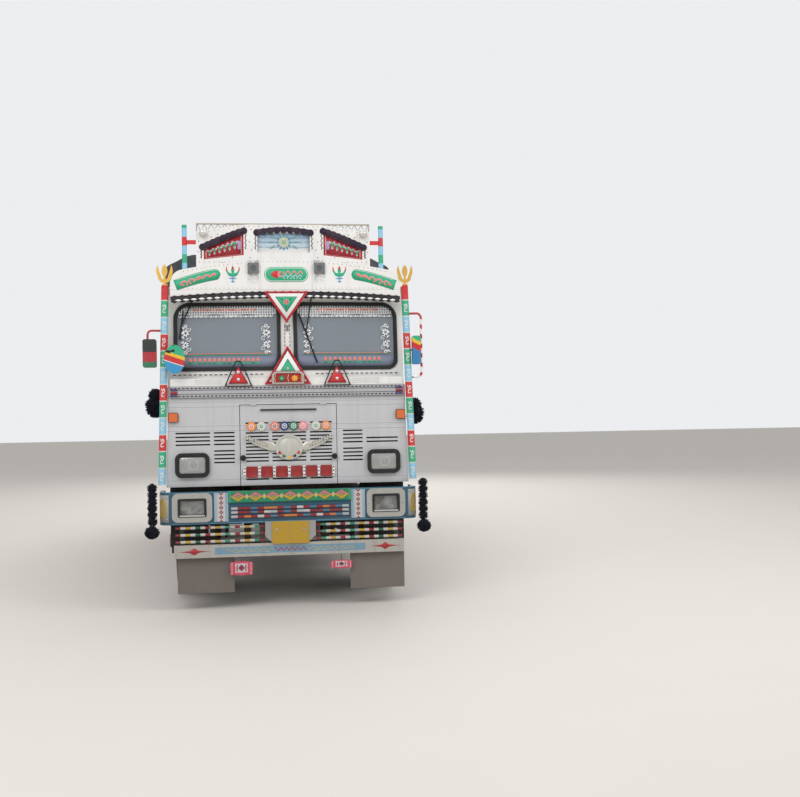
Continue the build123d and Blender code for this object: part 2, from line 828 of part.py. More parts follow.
def moulding():
    """Three ribbed aluminium bands under the windscreen, with the sill above them."""
    half = 1090
    ribs = []
    height = (moulding_top - panel_top) / 3
    for i in range(3):
        z = panel_top + height * i
        ribs.append(block(-half, half, panel_face - 22, panel_face + 20, z + 3, z + height - 3))
    back = block(-half, half, panel_face - 12, panel_face + 30, panel_top + 1, moulding_top)
    return joined([back] + ribs)


def hood_flap():
    shape = rect(-flap_half, flap_half, flap_low, flap_high)
    columns = ((-401, -188), (-155, 163), (200, 408))
    rows = [1728, 1202]
    rows += [flap_slot_top - flap_slot_pitch * i for i in range(flap_slot_rows)]
    for x0, x1 in columns:
        for z in rows:
            shape = shape - rect(x0, x1, z - slot_height / 2, z + slot_height / 2)
    flap = sheet(shape, panel_face, flap_thick)
    for _, s in sides:
        _, moving = barrels(flap_axis(s), (1, 0, 0), flap_barrel_radius, flap_barrel_length)
        _, span = knuckle_spans(s * flap_hinge_x, flap_barrel_length)
        strap = block(span[0], span[1], panel_face - 3, panel_face, flap_high - 34,
                      flap_axis(s)[2] - flap_barrel_radius / 2 - 1)
        flap = flap + (moving + strap)
    return flap


def flap_fittings():
    """What the flap carries: reflectors, badges, catches and an oval medallion."""
    shapes = []
    y = panel_face
    for i in range(6):
        x = -347 + 139 * i
        tile = rect(x - 52, x + 52, 1218, 1322)
        shapes.append(sheet(tile, y - 8, 8 - fit_gap))
    for x in (-347, -255, -130, -40, 47, 135, 256, 351):
        shapes.append(rod((x, y - 16, 1697), (x, y - fit_gap, 1697), 42))
    for s in (-1, 1):
        shapes.append(rod((s * 428, y - 30, 1404), (s * 428, y - fit_gap, 1404), 25))
    oval = sheet(Pos(2, 1495) * Ellipse(130, 116), y - 14, 14 - fit_gap)
    for s in (-1, 1):
        wing = sheet(outline((s * 110, 1470), (s * 390, 1575), (s * 400, 1605),
                             (s * 300, 1590), (s * 105, 1530)), y - 12, 12 - fit_gap)
        oval = oval + wing
    shapes.append(oval)
    return shapes


# Windscreen

def screen_plane(s, back=0.0):
    """The plane of one half of the windscreen, vee-shaped in plan and raked back."""
    a = radians(screen_v)
    b = radians(screen_rake)
    x_dir = (cos(a), s * sin(a), 0)
    normal = (s * sin(a) * cos(b), -cos(a) * cos(b), sin(b))
    base = Vector(0, panel_face, moulding_top) - Vector(*normal) * back
    return Plane(origin=base, x_dir=x_dir, z_dir=normal)


def pane(s, grow=0.0):
    """Outline of a pane on its half's plane, from the middle post outwards."""
    low = pane_low - moulding_top - grow
    high = pane_high - moulding_top + grow
    x0 = s * (pane_inner - grow)
    x1 = s * (pane_outer + grow)
    shape = rect(x0, x1, low, high)
    outer_top = shape.vertices().sort_by(lambda v: v.Y + s * v.X)[-1]
    shape = fillet(outer_top, pane_top_corner + grow)
    corners = [v for v in shape.vertices() if abs(v.X - x0) < 0.1 or v.Y < low + 0.1]
    corners = [v for v in corners if abs(v.X - x0) < 0.1 or abs(v.X - x1) < 0.1]
    return fillet(corners, pane_corner + grow)


def screen_frame():
    height = screen_frame_top - moulding_top
    halves = []
    for _, s in sides:
        board = rect(0, s * (cab_half - 4), 0, height)
        board = board - pane(s)
        halves.append(extrude(screen_plane(s) * board, amount=-screen_frame_thick))
    post = block(-30, 30, panel_face - 4, panel_face + 60, moulding_top, screen_frame_top - 10)
    return joined(halves + [post])


def screen_seals():
    shapes = []
    for _, s in sides:
        ring = pane(s, -fit_gap) - pane(s, -seal_width)
        shapes.append(extrude(screen_plane(s, -12) * ring, amount=-30))
    return shapes


def screen_glass():
    shapes = []
    for _, s in sides:
        shapes.append(extrude(screen_plane(s, 6) * pane(s, -seal_width - fit_gap),
                              amount=-glass_thick))
    return shapes


def sill():
    """The white sill under the panes with its air vents."""
    half = 1088
    bar = block(-half, half, panel_face - 16, panel_face - 5, moulding_top, 2150)
    for _, s in sides:
        for i in range(3):
            z = 2094 + 18 * i
            bar = bar - block(s * 611, s * 866, panel_face - 20, panel_face - 9, z, z + 10)
    return bar


# Cab shell

def cab_side(s):
    """A side of the cab: front pillar, door opening, rear quarter with a window."""
    low_front = panel_face + panel_thick + fit_gap
    reach = (cab_half - 4) * sin(radians(screen_v)) + screen_frame_thick + 8
    belt_front = panel_face + reach
    top_front = belt_front + (roof_edge - moulding_top) * tan(radians(screen_rake))
    shape = outline((low_front, cab_floor_under), (cab_rear, cab_floor_under), (cab_rear, roof_edge),
                    (top_front, roof_edge), (belt_front, moulding_top - 4),
                    (low_front, moulding_top - 4))
    d0 = face + door_front - shut_gap
    d1 = face + door_front + door_width + shut_gap
    shape = shape - soft_rect(d0, d1, door_sill - shut_gap, door_top + shut_gap, 60)
    shape = shape - soft_rect(d1 + quarter_margin, cab_rear - quarter_margin, belt_height + 40,
                              door_top - 40, 60)
    wall_solid = side_sheet(shape, cab_half - cab_wall, cab_wall)
    hinge_y = face + door_front
    for z in door_hinge_heights:
        fixed, _ = barrels((door_axis_x, hinge_y, z), (0, 0, 1),
                           door_barrel_radius, door_barrel_length)
        ends, _ = knuckle_spans(z, door_barrel_length)
        for z0, z1 in ends:
            fixed = fixed + block(cab_half, cab_half + 4, hinge_y - 45, hinge_y - 4, z0, z1)
        wall_solid = wall_solid + fixed
    return mirror(wall_solid, Plane.YZ) if s < 0 else wall_solid


def door(s):
    y0 = face + door_front
    y1 = y0 + door_width
    shape = soft_rect(y0, y1, door_sill, door_top, 56)
    window = soft_rect(y0 + window_margin, y1 - window_margin, belt_height, door_top - window_margin,
                       50)
    leaf = side_sheet(shape - window, cab_half - cab_wall, cab_wall)
    rib = side_sheet(rect(y0 + 70, y1 - 70, 1420, 1440), cab_half - 2, 10)
    leaf = leaf + rib
    leaf = leaf + side_sheet(rect(y1 - 170, y1 - 50, 1960, 1990), cab_half - 2, 24)
    for z in door_hinge_heights:
        _, moving = barrels((door_axis_x, y0, z), (0, 0, 1),
                            door_barrel_radius, door_barrel_length)
        _, span = knuckle_spans(z, door_barrel_length)
        leaf = leaf + (moving + block(cab_half, cab_half + 4, y0 + 5, y0 + 60, span[0], span[1]))
    return mirror(leaf, Plane.YZ) if s < 0 else leaf


def door_glass(s):
    y0 = face + door_front + window_margin + fit_gap
    y1 = face + door_front + door_width - window_margin - fit_gap
    shape = soft_rect(y0, y1, belt_height + fit_gap, door_top - window_margin - fit_gap, 50)
    pane_solid = side_sheet(shape, cab_half - cab_wall / 2 - 3, glass_thick)
    return mirror(pane_solid, Plane.YZ) if s < 0 else pane_solid


def cab_quarter_glass():
    d1 = face + door_front + door_width + shut_gap
    shape = soft_rect(d1 + quarter_margin + fit_gap, cab_rear - quarter_margin - fit_gap,
                      belt_height + 40 + fit_gap,
                      door_top - 40 - fit_gap, 60)
    right = side_sheet(shape, cab_half - cab_wall / 2 - 3, glass_thick)
    return both(right)


def cab_rear_wall():
    inner = cab_half - cab_wall - fit_gap
    shape = rect(-inner, inner, cab_floor_under, roof_edge - 2)
    shape = shape - soft_rect(-420, 420, 2150, 2600, 40)
    return sheet(shape, cab_rear - cab_wall, cab_wall)


def cab_floor():
    inner = cab_half - cab_wall - fit_gap
    y0 = panel_face + panel_thick + fit_gap
    y1 = cab_rear - cab_wall - fit_gap
    plate = block(-inner, inner, y0, y1, cab_floor_under, cab_floor_top)
    hole = block(-cover_half + cover_wall, cover_half - cover_wall, cover_front() + 1,
                 cover_rear() - cover_wall, cab_floor_under - 1, cab_floor_top + 1)
    return plate - hole


def cover_front():
    return panel_face + panel_thick + fit_gap


def cover_rear():
    return face + 1556


def engine_cover():
    """The hollow cover over the engine and radiator between the seats, open underneath."""
    low = cab_floor_top + fit_gap
    outer = block(-cover_half, cover_half, cover_front(), cover_rear(), low, cover_top)
    outer = fillet(outer.edges().filter_by(Axis.Y).group_by(Axis.Z)[-1], 60)
    inner = block(-cover_half + cover_wall, cover_half - cover_wall, cover_front() - 1,
                  cover_rear() - cover_wall, low - 1, cover_top - cover_wall)
    return outer - inner


def roof_form(grow=0.0):
    """The outer arch of the roof over its whole length, up to its lower edge."""
    half = cab_half + grow
    edge = roof_edge + roof_side + grow
    crown = edge + roof_crown - roof_edge
    y0 = panel_face + roof_setback - grow
    arc = ThreePointArc((-half, edge), (0, crown), (half, edge))
    rest = Polyline((half, edge), (half, roof_edge), (-half, roof_edge), (-half, edge))
    return sheet(make_face([arc, rest]), y0, cab_rear - y0 + grow)


def cab_roof():
    """A shallow arched roof that rests on the side walls and the rear wall."""
    inner = cab_half - cab_wall
    edge = roof_edge + 4
    crown = edge + roof_crown - roof_edge
    y0 = panel_face + roof_setback + cab_wall
    arc = ThreePointArc((-inner, edge), (0, crown), (inner, edge))
    rest = Polyline((inner, edge), (inner, roof_edge - 1), (-inner, roof_edge - 1), (-inner, edge))
    hollow = sheet(make_face([arc, rest]), y0, cab_rear - cab_wall - y0)
    return roof_form() - hollow


def forehead_section(low):
    """Front view of the forehead: a flat arch between rounded shoulders."""
    half = forehead_half
    edge = forehead_top - (forehead_radius - sqrt(forehead_radius ** 2 - half ** 2))
    arc = ThreePointArc((-half, edge), (0, forehead_top), (half, edge))
    rest = Polyline((half, edge), (half, low), (-half, low), (-half, edge))
    section = make_face([arc, rest])
    shoulders = section.vertices().group_by(Axis.Y)[-1]
    return fillet(shoulders, forehead_shoulder)


def brow_line(x):
    """Height of the forehead's lower edge, which rises towards the middle."""
    return forehead_low + forehead_lift * (1 - (x / forehead_half) ** 2)


def forehead():
    """The painted board over the windscreen, falling back to the roof behind it."""
    half = forehead_half
    y = face + forehead_front
    low = brow_line(half)
    skin = forehead_section(low)
    bite = ThreePointArc((-half, low), (0, brow_line(0)), (half, low))
    rest = Polyline((half, low), (half, low - 20), (-half, low - 20), (-half, low))
    skin = sheet(skin - make_face([bite, rest]), y, forehead_skin)
    body = sheet(forehead_section(screen_frame_top + 1), y + forehead_skin,
                 forehead_rear - forehead_front - forehead_skin)
    slope_start = panel_face + roof_setback
    above = outline((slope_start, forehead_top + 1), (face + forehead_rear + 1, roof_crown + 60),
                    (face + forehead_rear + 1, forehead_top + 80), (slope_start, forehead_top + 80))
    body = body - side_sheet(above, -half - 1, 2 * half + 2)
    body = body - roof_form(fit_gap)
    body = body - block(-half - 1, half + 1, slope_start - fit_gap, face + forehead_rear + 1, 2900,
                        roof_edge + roof_side)
    return skin + body


def sign_board():
    """The crest board on the roof, with three framed panels set back in it."""
    y = face + sign_setback
    low = roof_edge + 20
    edge = sign_end_height
    shape = outline((-sign_half, low), (sign_half, low), (sign_half, edge),
                    (sign_mid_half, sign_mid_height), (-sign_mid_half, sign_mid_height),
                    (-sign_half, edge))
    board = sheet(shape, y, sign_thick) - roof_form(fit_gap)
    middle = rect(-258, 258, 3396, 3595)
    board = board - sheet(middle, y - 1, 24)
    for _, s in sides:
        side_panel = outline((s * 390, 3369), (s * 390, 3594), (s * 778, 3446), (s * 778, 3325))
        board = board - sheet(side_panel, y - 1, 24)
    return board


def bar_between(a, b, half):
    """A flat bar between two points of the front view."""
    run = Vector(b[0] - a[0], b[1] - a[1]).normalized() * half
    side = (-run.Y, run.X)
    return outline((a[0] + side[0], a[1] + side[1]), (b[0] + side[0], b[1] + side[1]),
                   (b[0] - side[0], b[1] - side[1]), (a[0] - side[0], a[1] - side[1]))


def sign_rail():
    """The straight rail over the sloping wings with a zigzag of flat bars between."""
    y = face + sign_setback + sign_thick / 2
    solid = block(-sign_half, sign_half, y - 9, y + 9, rail_line - 13, rail_line)
    for _, s in sides:
        post = block(s * sign_half, s * (sign_half - 14), y - 7, y + 7, sign_end_height - 2,
                     rail_line - 6)
        solid = solid + post
        for i in range(lattice_steps):
            xa = s * (sign_half - 14 - 2 * lattice_pitch * i)
            xb = xa - s * lattice_pitch
            xc = xb - s * lattice_pitch
            share = (sign_half - abs(xb)) / (sign_half - sign_mid_half)
            foot = sign_end_height + (sign_mid_height - sign_end_height) * min(share, 1.0) - 4
            for x in (xa, xc):
                bar = bar_between((x, rail_line - 8), (xb, foot), 4)
                solid = solid + sheet(bar, y - 3, 6)
    return solid


def roof_posts():
    """Upright posts beside the sign board, each held to it by a flat bracket."""
    y = face + sign_setback + 22
    shapes = []
    for _, s in sides:
        x = s * 962
        post = rod((x, y, roof_edge), (x, y, post_top), post_radius) - roof_form(fit_gap)
        shapes.append(post + block(x, s * sign_half, y - 6, y + 6, 3475, 3515))
    return shapes


def corner_poles(grow=0.0):
    shapes = []
    for _, s in sides:
        low = (s * pole_foot_x, face + pole_foot_setback, pole_foot)
        high = (s * pole_top_x, face + pole_top_setback, pole_top)
        shapes.append(rod(low, high, pole_radius + grow))
    return shapes


def arc_face(*arcs):
    """A flat outline of three-point arcs; each starts where the one before it ends."""
    edges = [ThreePointArc(*arc) for arc in arcs]
    if arcs[-1][-1] != arcs[0][0]:
        edges.append(Line(arcs[-1][-1], arcs[0][0]))
    return make_face(edges)


def trident(x, y, z):
    """Block, cup, two horn-shaped side blades and a flame-shaped middle one in one plate."""
    h = trident_height
    w = trident_half
    shape = rect(-10, 10, -50, 0.5 * h) + rect(-0.34 * w, 0.34 * w, 0.02 * h, 0.13 * h)
    cup = Circle(0.82 * w) - Circle(0.4 * w)
    shape = shape + Pos(0, 0.46 * h) * (cup & rect(-w, w, -w, 0))
    for _, s in sides:
        horn = arc_face(((s * 0.4 * w, 0.46 * h), (s * 0.62 * w, 0.68 * h), (s * 0.8 * w, 0.97 * h)),
                        ((s * 0.8 * w, 0.97 * h), (s * w, 0.72 * h), (s * 0.82 * w, 0.46 * h)))
        shape = shape + horn
    flame = arc_face(((0, 0.4 * h), (0.34 * w, 0.64 * h), (0, h)),
                     ((0, h), (-0.34 * w, 0.64 * h), (0, 0.4 * h)))
    return Pos(x, y, z) * sheet(shape + flame, 0, 6)


def poles_with_tridents():
    shapes = []
    for pole, (_, s) in zip(corner_poles(), sides):
        front_of_pole = face + pole_top_setback - pole_radius - 5
        shapes.append(pole + trident(s * pole_top_x, front_of_pole, pole_top - 8))
    return shapes


# Marks, mirrors, lamps and other outside fittings

def triangle(x, z_base, half, height, thick, y):
    return sheet(outline((x - half, z_base), (x + half, z_base), (x, z_base + height)), y, thick)


def warning_triangles():
    """Framed boards: one point down, one point up with a box, and two small reflectors."""
    y = panel_face - 16 - 12 - fit_gap
    brow_y = face + forehead_front - trim_thick - 12 - fit_gap
    down = triangle(-6, 2958, 208, -296, 12, brow_y)
    up = triangle(0, 2090, 217, 361, 12, y)
    box_shape = outline((-155, 2086), (155, 2086), (155, 2185), (128, 2212), (-128, 2212),
                        (-155, 2185))
    box_part = sheet(box_shape, y - 26, 26 - fit_gap)
    shapes = [down, up, box_part]
    for s in (-1, 1):
        shapes.append(triangle(s * 461, 2100, 92, 160, 12, y))
    return shapes


def side_mirrors():
    y = face + 60
    poles = corner_poles(fit_gap)
    left_arm = pipe([(-1140, y + 45, 2600), (-1285, y, 2600), (-1285, y, 2500)], 40, 10) - poles[0]
    left_head = block(-side_reach, -1205, y - 30, y + 30, 2257, 2519)
    left_head = fillet(left_head.edges().filter_by(Axis.Y), 20)
    right_arm = pipe([(1135, y + 45, 2750), (1272, y, 2750), (1272, y, 2145), (1150, y + 45, 2145)],
                     45, 11) - poles[1]
    right_head = block(1182, 1262, y - 30, y + 30, 2262, 2535)
    right_head = fillet(right_head.edges().filter_by(Axis.Y), 20)
    round_arm = rod((-1139, y + 20, 2420), (-1050, y - 26, 2400), 9) - poles[0]
    round_head = sheet(Pos(-1040, 2330) * Ellipse(94, 132), y - 82, 60)
    stay = rod((1140, y + 45, 2400), (1190, y, 2400), 9) - poles[1]
    return [left_arm + left_head, right_arm, right_head + stay, round_arm + round_head]


def marker_lamps():
    shapes = []
    for _, s in sides:
        shapes.append(block(s * 1024, s * 1106, panel_face - 34, panel_face - fit_gap, 1752, 1832))
    for _, s in sides:
        dome = rod((s * 780, face + sign_setback - 36, 3580),
                   (s * 780, face + sign_setback - fit_gap, 3580), 36)
        shapes.append(dome)
    return shapes


def brow_boxes():
    """Two small square horn boxes on the forehead."""
    shapes = []
    for _, s in sides:
        x = s * 309
        shapes.append(block(x - 50, x + 50, face + forehead_front - 24,
                            face + forehead_front - fit_gap, 3130, 3225))
    return shapes


def brow_trim():
    """The scalloped black valance along the forehead's lower edge."""
    y = face + forehead_front - trim_thick
    half = forehead_half - 3
    upper = ThreePointArc((-half, brow_line(half) + 16), (0, brow_line(0) + 16),
                          (half, brow_line(half) + 16))
    down = Line((half, brow_line(half) + 16), (half, brow_line(half) - 12))
    lower = ThreePointArc((half, brow_line(half) - 12), (0, brow_line(0) - 12),
                          (-half, brow_line(half) - 12))
    up = Line((-half, brow_line(half) - 12), (-half, brow_line(half) + 16))
    shape = make_face([upper, down, lower, up])
    step = 2 * half / scallop_count
    for i in range(scallop_count):
        x = -half + step * (i + 0.5)
        shape = shape + Pos(x, brow_line(x) - 12) * Circle(step * 0.44)
    return sheet(shape, y, trim_thick - fit_gap)


def screen_y(x, z):
    """How far back the outer face of the windscreen frame stands at x and z."""
    return panel_face + abs(x) * tan(radians(screen_v)) + (z - moulding_top) * tan(radians(screen_rake))


def wipers():
    """Arms hung from above each pane with a blade that rests near the glass."""
    shapes = []
    for pivot, knee, low, high in (
            ((-860, 2925), (-985, 2650), (-1002, 2520), (-965, 2790)),
            ((238, 2925), (176, 2560), (282, 2290), (112, 2760))):
        places = []
        for point, out in ((pivot, 14), (knee, 18), (low, 12), (high, 12)):
            places.append((point[0], screen_y(*point) - out, point[1]))
        foot = rod((pivot[0], places[0][1], pivot[1]),
                   (pivot[0], screen_y(*pivot) - 2.5, pivot[1]), 16)
        shapes.append(rod(places[0], places[1], 6) + rod(places[2], places[3], 8) + foot)
    return shapes


def front_mudguards():
    shapes = []
    for _, s in sides:
        ring = Circle(612) - Circle(600)
        ring = ring & rect(-620, 620, -60, 620)
        guard = side_sheet(Pos(front_axle, axle_height) * ring, 818, 310)
        flap = block(818, 1128, front_axle + 600, front_axle + 612, 330, axle_height - 50)
        tab = block(850, 1060, front_axle - 60, front_axle + 60, axle_height + 604,
                    cab_floor_under - fit_gap)
        guard = guard + flap + tab
        shapes.append(mirror(guard, Plane.YZ) if s < 0 else guard)
    return shapes


def cab_steps():
    """Step boxes under the doors, ahead of the front wheels."""
    shapes = []
    for _, s in sides:
        outer = block(s * 770, s * 1118, face + 345, face + 640, 560, cab_floor_under - fit_gap)
        for z in (640, 890):
            outer = outer - block(s * 860, s * 1130, face + 375, face + 610, z, z + 190)
        shapes.append(outer)
    return shapes


# Cab inside

def seats():
    """Base boxes of the driver's seat, the mate's seat and the bench behind."""
    shapes = []
    for x0, x1 in ((-915, -415), (415, 915)):
        shapes.append(block(x0 + 30, x1 - 30, face + 950, face + 1350, cab_floor_top + 1, 1480))
    shapes.append(block(-1040, 1040, face + 1590, cab_rear - cab_wall - 4, cab_floor_top + 1, 1500))
    return shapes


def seat_cushions():
    shapes = []
    for x0, x1 in ((-915, -415), (415, 915)):
        pad = block(x0, x1, face + 920, face + 1400, 1482, 1590)
        pad = fillet(pad.edges().filter_by(Axis.Z), 50)
        back = block(x0 + 10, x1 - 10, face + 1405, face + 1520, 1500, 2170)
        back = fillet(back.edges().filter_by(Axis.Y), 60)
        shapes += [pad, back]
    bench = block(-1035, 1035, face + 1592, cab_rear - cab_wall - 8, 1502, 1600)
    bench = fillet(bench.edges().filter_by(Axis.Z), 40)
    shapes.append(bench)
    return shapes


def dashboard():
    y0 = panel_face + panel_thick + fit_gap
    shape = outline((y0, 1740), (y0 + 300, 1740), (y0 + 330, 1950), (y0 + 240, 2050), (y0, 2070))
    return side_sheet(shape, -1070, 2140)


def steering_wheel():
    centre = Vector(-640, face + 690, 2010)
    column_dir = Vector(0, -0.5, -0.866)
    plane = Plane(origin=centre, z_dir=column_dir)
    ring = extrude(plane * (RegularPolygon(250, 24) - RegularPolygon(222, 24)), amount=22)
    hub = extrude(plane * Circle(45), amount=40)
    low = centre + column_dir * 930
    column = rod(tuple(centre), tuple(low), 24)
    solid = hub + column
    for i in range(3):
        angle = 2 * pi * i / 3 + 0.5
        tip = plane.from_local_coords(Vector(232 * cos(angle), 232 * sin(angle), 0))
        solid = solid + rod(tuple(centre), tuple(tip), 11)
    return solid + ring


# Load body

def bearer_y(i):
    """Place of cross bearer i, evenly spaced from the headboard to the tail."""
    inset = bearer_width
    return body_front + inset + (tail - body_front - 2 * inset) * i / (bearer_count - 1)


def gate_hinge_xs():
    return [s * place for place in gate_hinge_places for _, s in sides]


def load_floor():
    y0 = body_front
    y1 = tail
    deck_half = body_half - wall_thick - fit_gap
    deck = block(-deck_half, deck_half, y0 + wall_thick + fit_gap, y1, floor_top - floor_thick,
                 floor_top)
    shapes = [deck]
    for x in gate_hinge_xs():
        fixed, _ = barrels((x, *gate_axis), (1, 0, 0), gate_barrel_radius, gate_barrel_length)
        ends, _ = knuckle_spans(x, gate_barrel_length)
        for x0, x1 in ends:
            fixed = fixed + block(x0, x1, y1 - 2, gate_axis[0], gate_axis[1] - 3, gate_axis[1] + 9)
        shapes.append(fixed)
    bearer_low = rail_top + runner_height
    for i in range(bearer_count):
        y = bearer_y(i)
        shapes.append(block(-body_half, body_half, y - bearer_width / 2, y + bearer_width / 2,
                            bearer_low, floor_top - floor_thick))
    for _, s in sides:
        x = s * rail_centre
        shapes.append(block(x - rail_width / 2, x + rail_width / 2, y0, y1, rail_top + fit_gap,
                            bearer_low))
    return joined(shapes)


def wall(s):
    """A planked side with upright posts outside and rails along its top and middle."""
    y0 = body_front
    y1 = tail
    panel = block(body_half - wall_thick, body_half, y0, y1, floor_top - floor_thick + fit_gap,
                  wall_top)
    shapes = [panel]
    for i in range(post_count):
        y = y0 + post_width / 2 + (y1 - y0 - post_width) * i / (post_count - 1)
        shapes.append(block(body_half, body_outer, y - post_width / 2, y + post_width / 2,
                            floor_top - floor_thick - 60, wall_top))
    for z in (floor_top + 30, floor_top + 0.32 * wall_height, floor_top + 0.62 * wall_height,
              wall_top - 35):
        shapes.append(block(body_half, body_outer - 8, y0, y1, z - 25, z + 25))
    for z in leaf_hinge_heights():
        fixed, _ = barrels((leaf_axis_x, gate_axis[0], z), (0, 0, 1), leaf_barrel_radius,
                           leaf_barrel_length)
        ends, _ = knuckle_spans(z, leaf_barrel_length)
        for z0, z1 in ends:
            fixed = fixed + block(body_outer, body_outer + 4, y1 - 45, gate_axis[0], z0, z1)
        shapes.append(fixed)
    solid = joined(shapes)
    return mirror(solid, Plane.YZ) if s < 0 else solid


def leaf_hinge_heights():
    high = wall_top - shut_gap
    return (leaf_low + 120, (leaf_low + high) / 2 + 90, high - 120)


def headboard():
    inner = body_half - wall_thick - fit_gap
    panel = block(-inner, inner, body_front, body_front + wall_thick,
                  floor_top - floor_thick + fit_gap, wall_top)
    for i in range(5):
        x = -inner + 40 + (2 * inner - 80) * i / 4
        panel = panel + block(x - 25, x + 25, body_front - 30, body_front, floor_top + 40, wall_top)
    return panel


def tailgate():
    """The drop gate across the tail, ribbed outside."""
    half = body_outer - shut_gap
    low = floor_top + shut_gap
    y = gate_y
    gate = block(-half, half, y, y + gate_thick - 12, low, low + gate_height)
    for i in range(7):
        x = -half + 40 + (2 * half - 80) * i / 6
        gate = gate + block(x - 30, x + 30, y, y + gate_thick, low, low + gate_height)
    for z in (low + 25, low + gate_height - 25):
        gate = gate + block(-half, half, y, y + gate_thick, z - 25, z + 25)
    for x in gate_hinge_xs():
        _, moving = barrels((x, *gate_axis), (1, 0, 0), gate_barrel_radius, gate_barrel_length)
        _, span = knuckle_spans(x, gate_barrel_length)
        strap = block(span[0], span[1], y + gate_thick - 4, y + gate_thick + 4,
                      gate_axis[1] + gate_barrel_radius - 3, low + 120)
        gate = gate + (moving + strap)
    return gate


def rear_leaf(s):
    half = body_outer - shut_gap
    y = gate_y
    low = leaf_low
    high = wall_top - shut_gap
    x0 = 4
    leaf = block(x0, half, y, y + gate_thick - 12, low, high)
    for i in range(3):
        x = x0 + 30 + (half - x0 - 60) * i / 2
        leaf = leaf + block(x - 30, x + 30, y, y + gate_thick, low, high)
    for z in (low + 25, (low + high) / 2, high - 25):
        leaf = leaf + block(x0, half, y, y + gate_thick, z - 25, z + 25)
    for z in leaf_hinge_heights():
        _, moving = barrels((leaf_axis_x, gate_axis[0], z), (0, 0, 1), leaf_barrel_radius,
                            leaf_barrel_length)
        _, span = knuckle_spans(z, leaf_barrel_length)
        strap = block(half - 90, leaf_axis_x - leaf_barrel_radius / 2 - 1, y + gate_thick - 2,
                      y + gate_thick + 5, span[0], span[1])
        leaf = leaf + (moving + strap)
    return mirror(leaf, Plane.YZ) if s < 0 else leaf


def bow_section(inset):
    half = body_half - wall_thick / 2 + bow_size / 2 - inset
    edge = wall_top + tarp_edge_rise - 2 * tarp_thick - inset
    top = wall_top + tarp_crown - 2 * tarp_thick - inset
    low = wall_top + fit_gap - (1 if inset else 0)
    return outline((-half, low), (-half, edge), (-half + 300, top - 30), (0, top),
                   (half - 300, top - 30), (half, edge), (half, low))


def roof_bows():
    """Square tubes across the load body that carry the tarpaulin."""
    arch = bow_section(0) - bow_section(bow_size)
    shapes = []
    for i in range(bow_count):
        y = body_front + 90 + (tail - body_front - 180) * i / (bow_count - 1)
        shapes.append(sheet(arch, y - bow_size / 2, bow_size))
    return shapes


def tarp_section(inset):
    """Half-open arch of the cover: upright sides, rounded edges, a low crown."""
    half = body_outer + tarp_over - inset
    edge = wall_top + tarp_edge_rise - inset
    top = wall_top + tarp_crown - inset
    low = wall_top - tarp_drop - (1 if inset else 0)
    return outline((-half, low), (-half, edge), (-half + 300, top - 40), (0, top),
                   (half - 300, top - 40), (half, edge), (half, low))


def tarpaulin():
    y0 = body_front - 32 - tarp_thick
    y1 = tail - 4
    outer = sheet(tarp_section(0), y0, y1 - y0)
    inner = sheet(tarp_section(tarp_thick), y0 + tarp_thick, y1 - y0 + 10)
    gable = sheet(tarp_section(0), y1 - tarp_thick, tarp_thick)
    gable = gable - block(-2000, 2000, y1 - 200, y1 + 200, 0, wall_top + 6)
    return outer - inner + gable


def rear_bumper():
    """The tail beam on two drop plates, with lamp boxes at its ends."""
    beam = block(-1100, 1100, rear - 60, rear, 470, 590)
    beam = beam - block(-1090, 1090, rear - 61, rear - 50, 480, 580)
    shapes = [beam]
    back = rear - 60 - fit_gap
    under_rail = rail_top - rail_height
    for _, s in sides:
        x = s * rail_centre
        arm = block(x - 30, x + 30, tail - 20 + fit_gap, back, 470, under_rail + 120)
        foot = block(x - 30, x + 30, tail - 140, back, under_rail - 60, under_rail - fit_gap)
        shapes.append(arm + foot)
    return shapes


def tail_lamps():
    shapes = []
    low = rail_top + runner_height
    for _, s in sides:
        shapes.append(block(s * 820, s * 1120, tail + 1, tail + 40, low - 60, low + 60))
    return shapes


def rear_flaps():
    shapes = []
    y = rear_axle + tyre_radius + 90
    edge = rail_centre + rail_width / 2 + fit_gap
    for _, s in sides:
        flap = block(s * 640, s * 1210, y, y + 10, 250, rail_top - 60)
        bar = block(s * edge, s * 1210, y + 10, y + 45, rail_top - 110, rail_top - 70)
        shapes.append(flap + bar)
    return shapes


# Soft hangings

def ball(x, y, z, radius):
    """A yarn ball, kept as a plain eight-sided form."""
    rings = []
    for height, share in ((-1, 0.4), (-0.4, 1), (0.4, 1), (1, 0.4)):
        rings.append(Plane.XY.offset(height * radius) * RegularPolygon(radius * share, 8))
    return Pos(x, y, z) * loft(rings, ruled=True)


def tassels():
    """Black yarn bunches under the mirrors and strings of balls beside the bumper."""
    y = face + 245
    shapes = []
    for s, x, top, low in ((-1, 1235, 2095, 1790), (1, 1228, 1972, 1690)):
        reach = side_reach - x if s < 0 else 90
        bunch = ball(s * x, y, low + reach, reach)
        upper = ball(s * (x - 5), y, top - 80, 82)
        shapes.append(bunch + upper)
    y = face + 40
    for s, low in ((-1, 655), (1, 645)):
        big = 62
        x = side_reach - big
        solid = ball(s * x, y, low + 95, big)
        for i in range(6):
            solid = solid + ball(s * (x - 6), y, low + 185 + 62 * i, 36)
        shapes.append(solid)
    return shapes


def cloth_tags():
    """Two small cloths on strings under the valance, each one plain solid."""
    y = face + 24
    shapes = []
    for x0, x1, z0, z1 in tag_places:
        middle = (x0 + x1) / 2
        cloth = block(x0, x1, y - 3, y + 3, z0, z1)
        string = block(middle - 3, middle + 3, y - 3, y + 3, z1 - 1, valance_low - fit_gap)
        shapes.append(cloth + string)
    return shapes


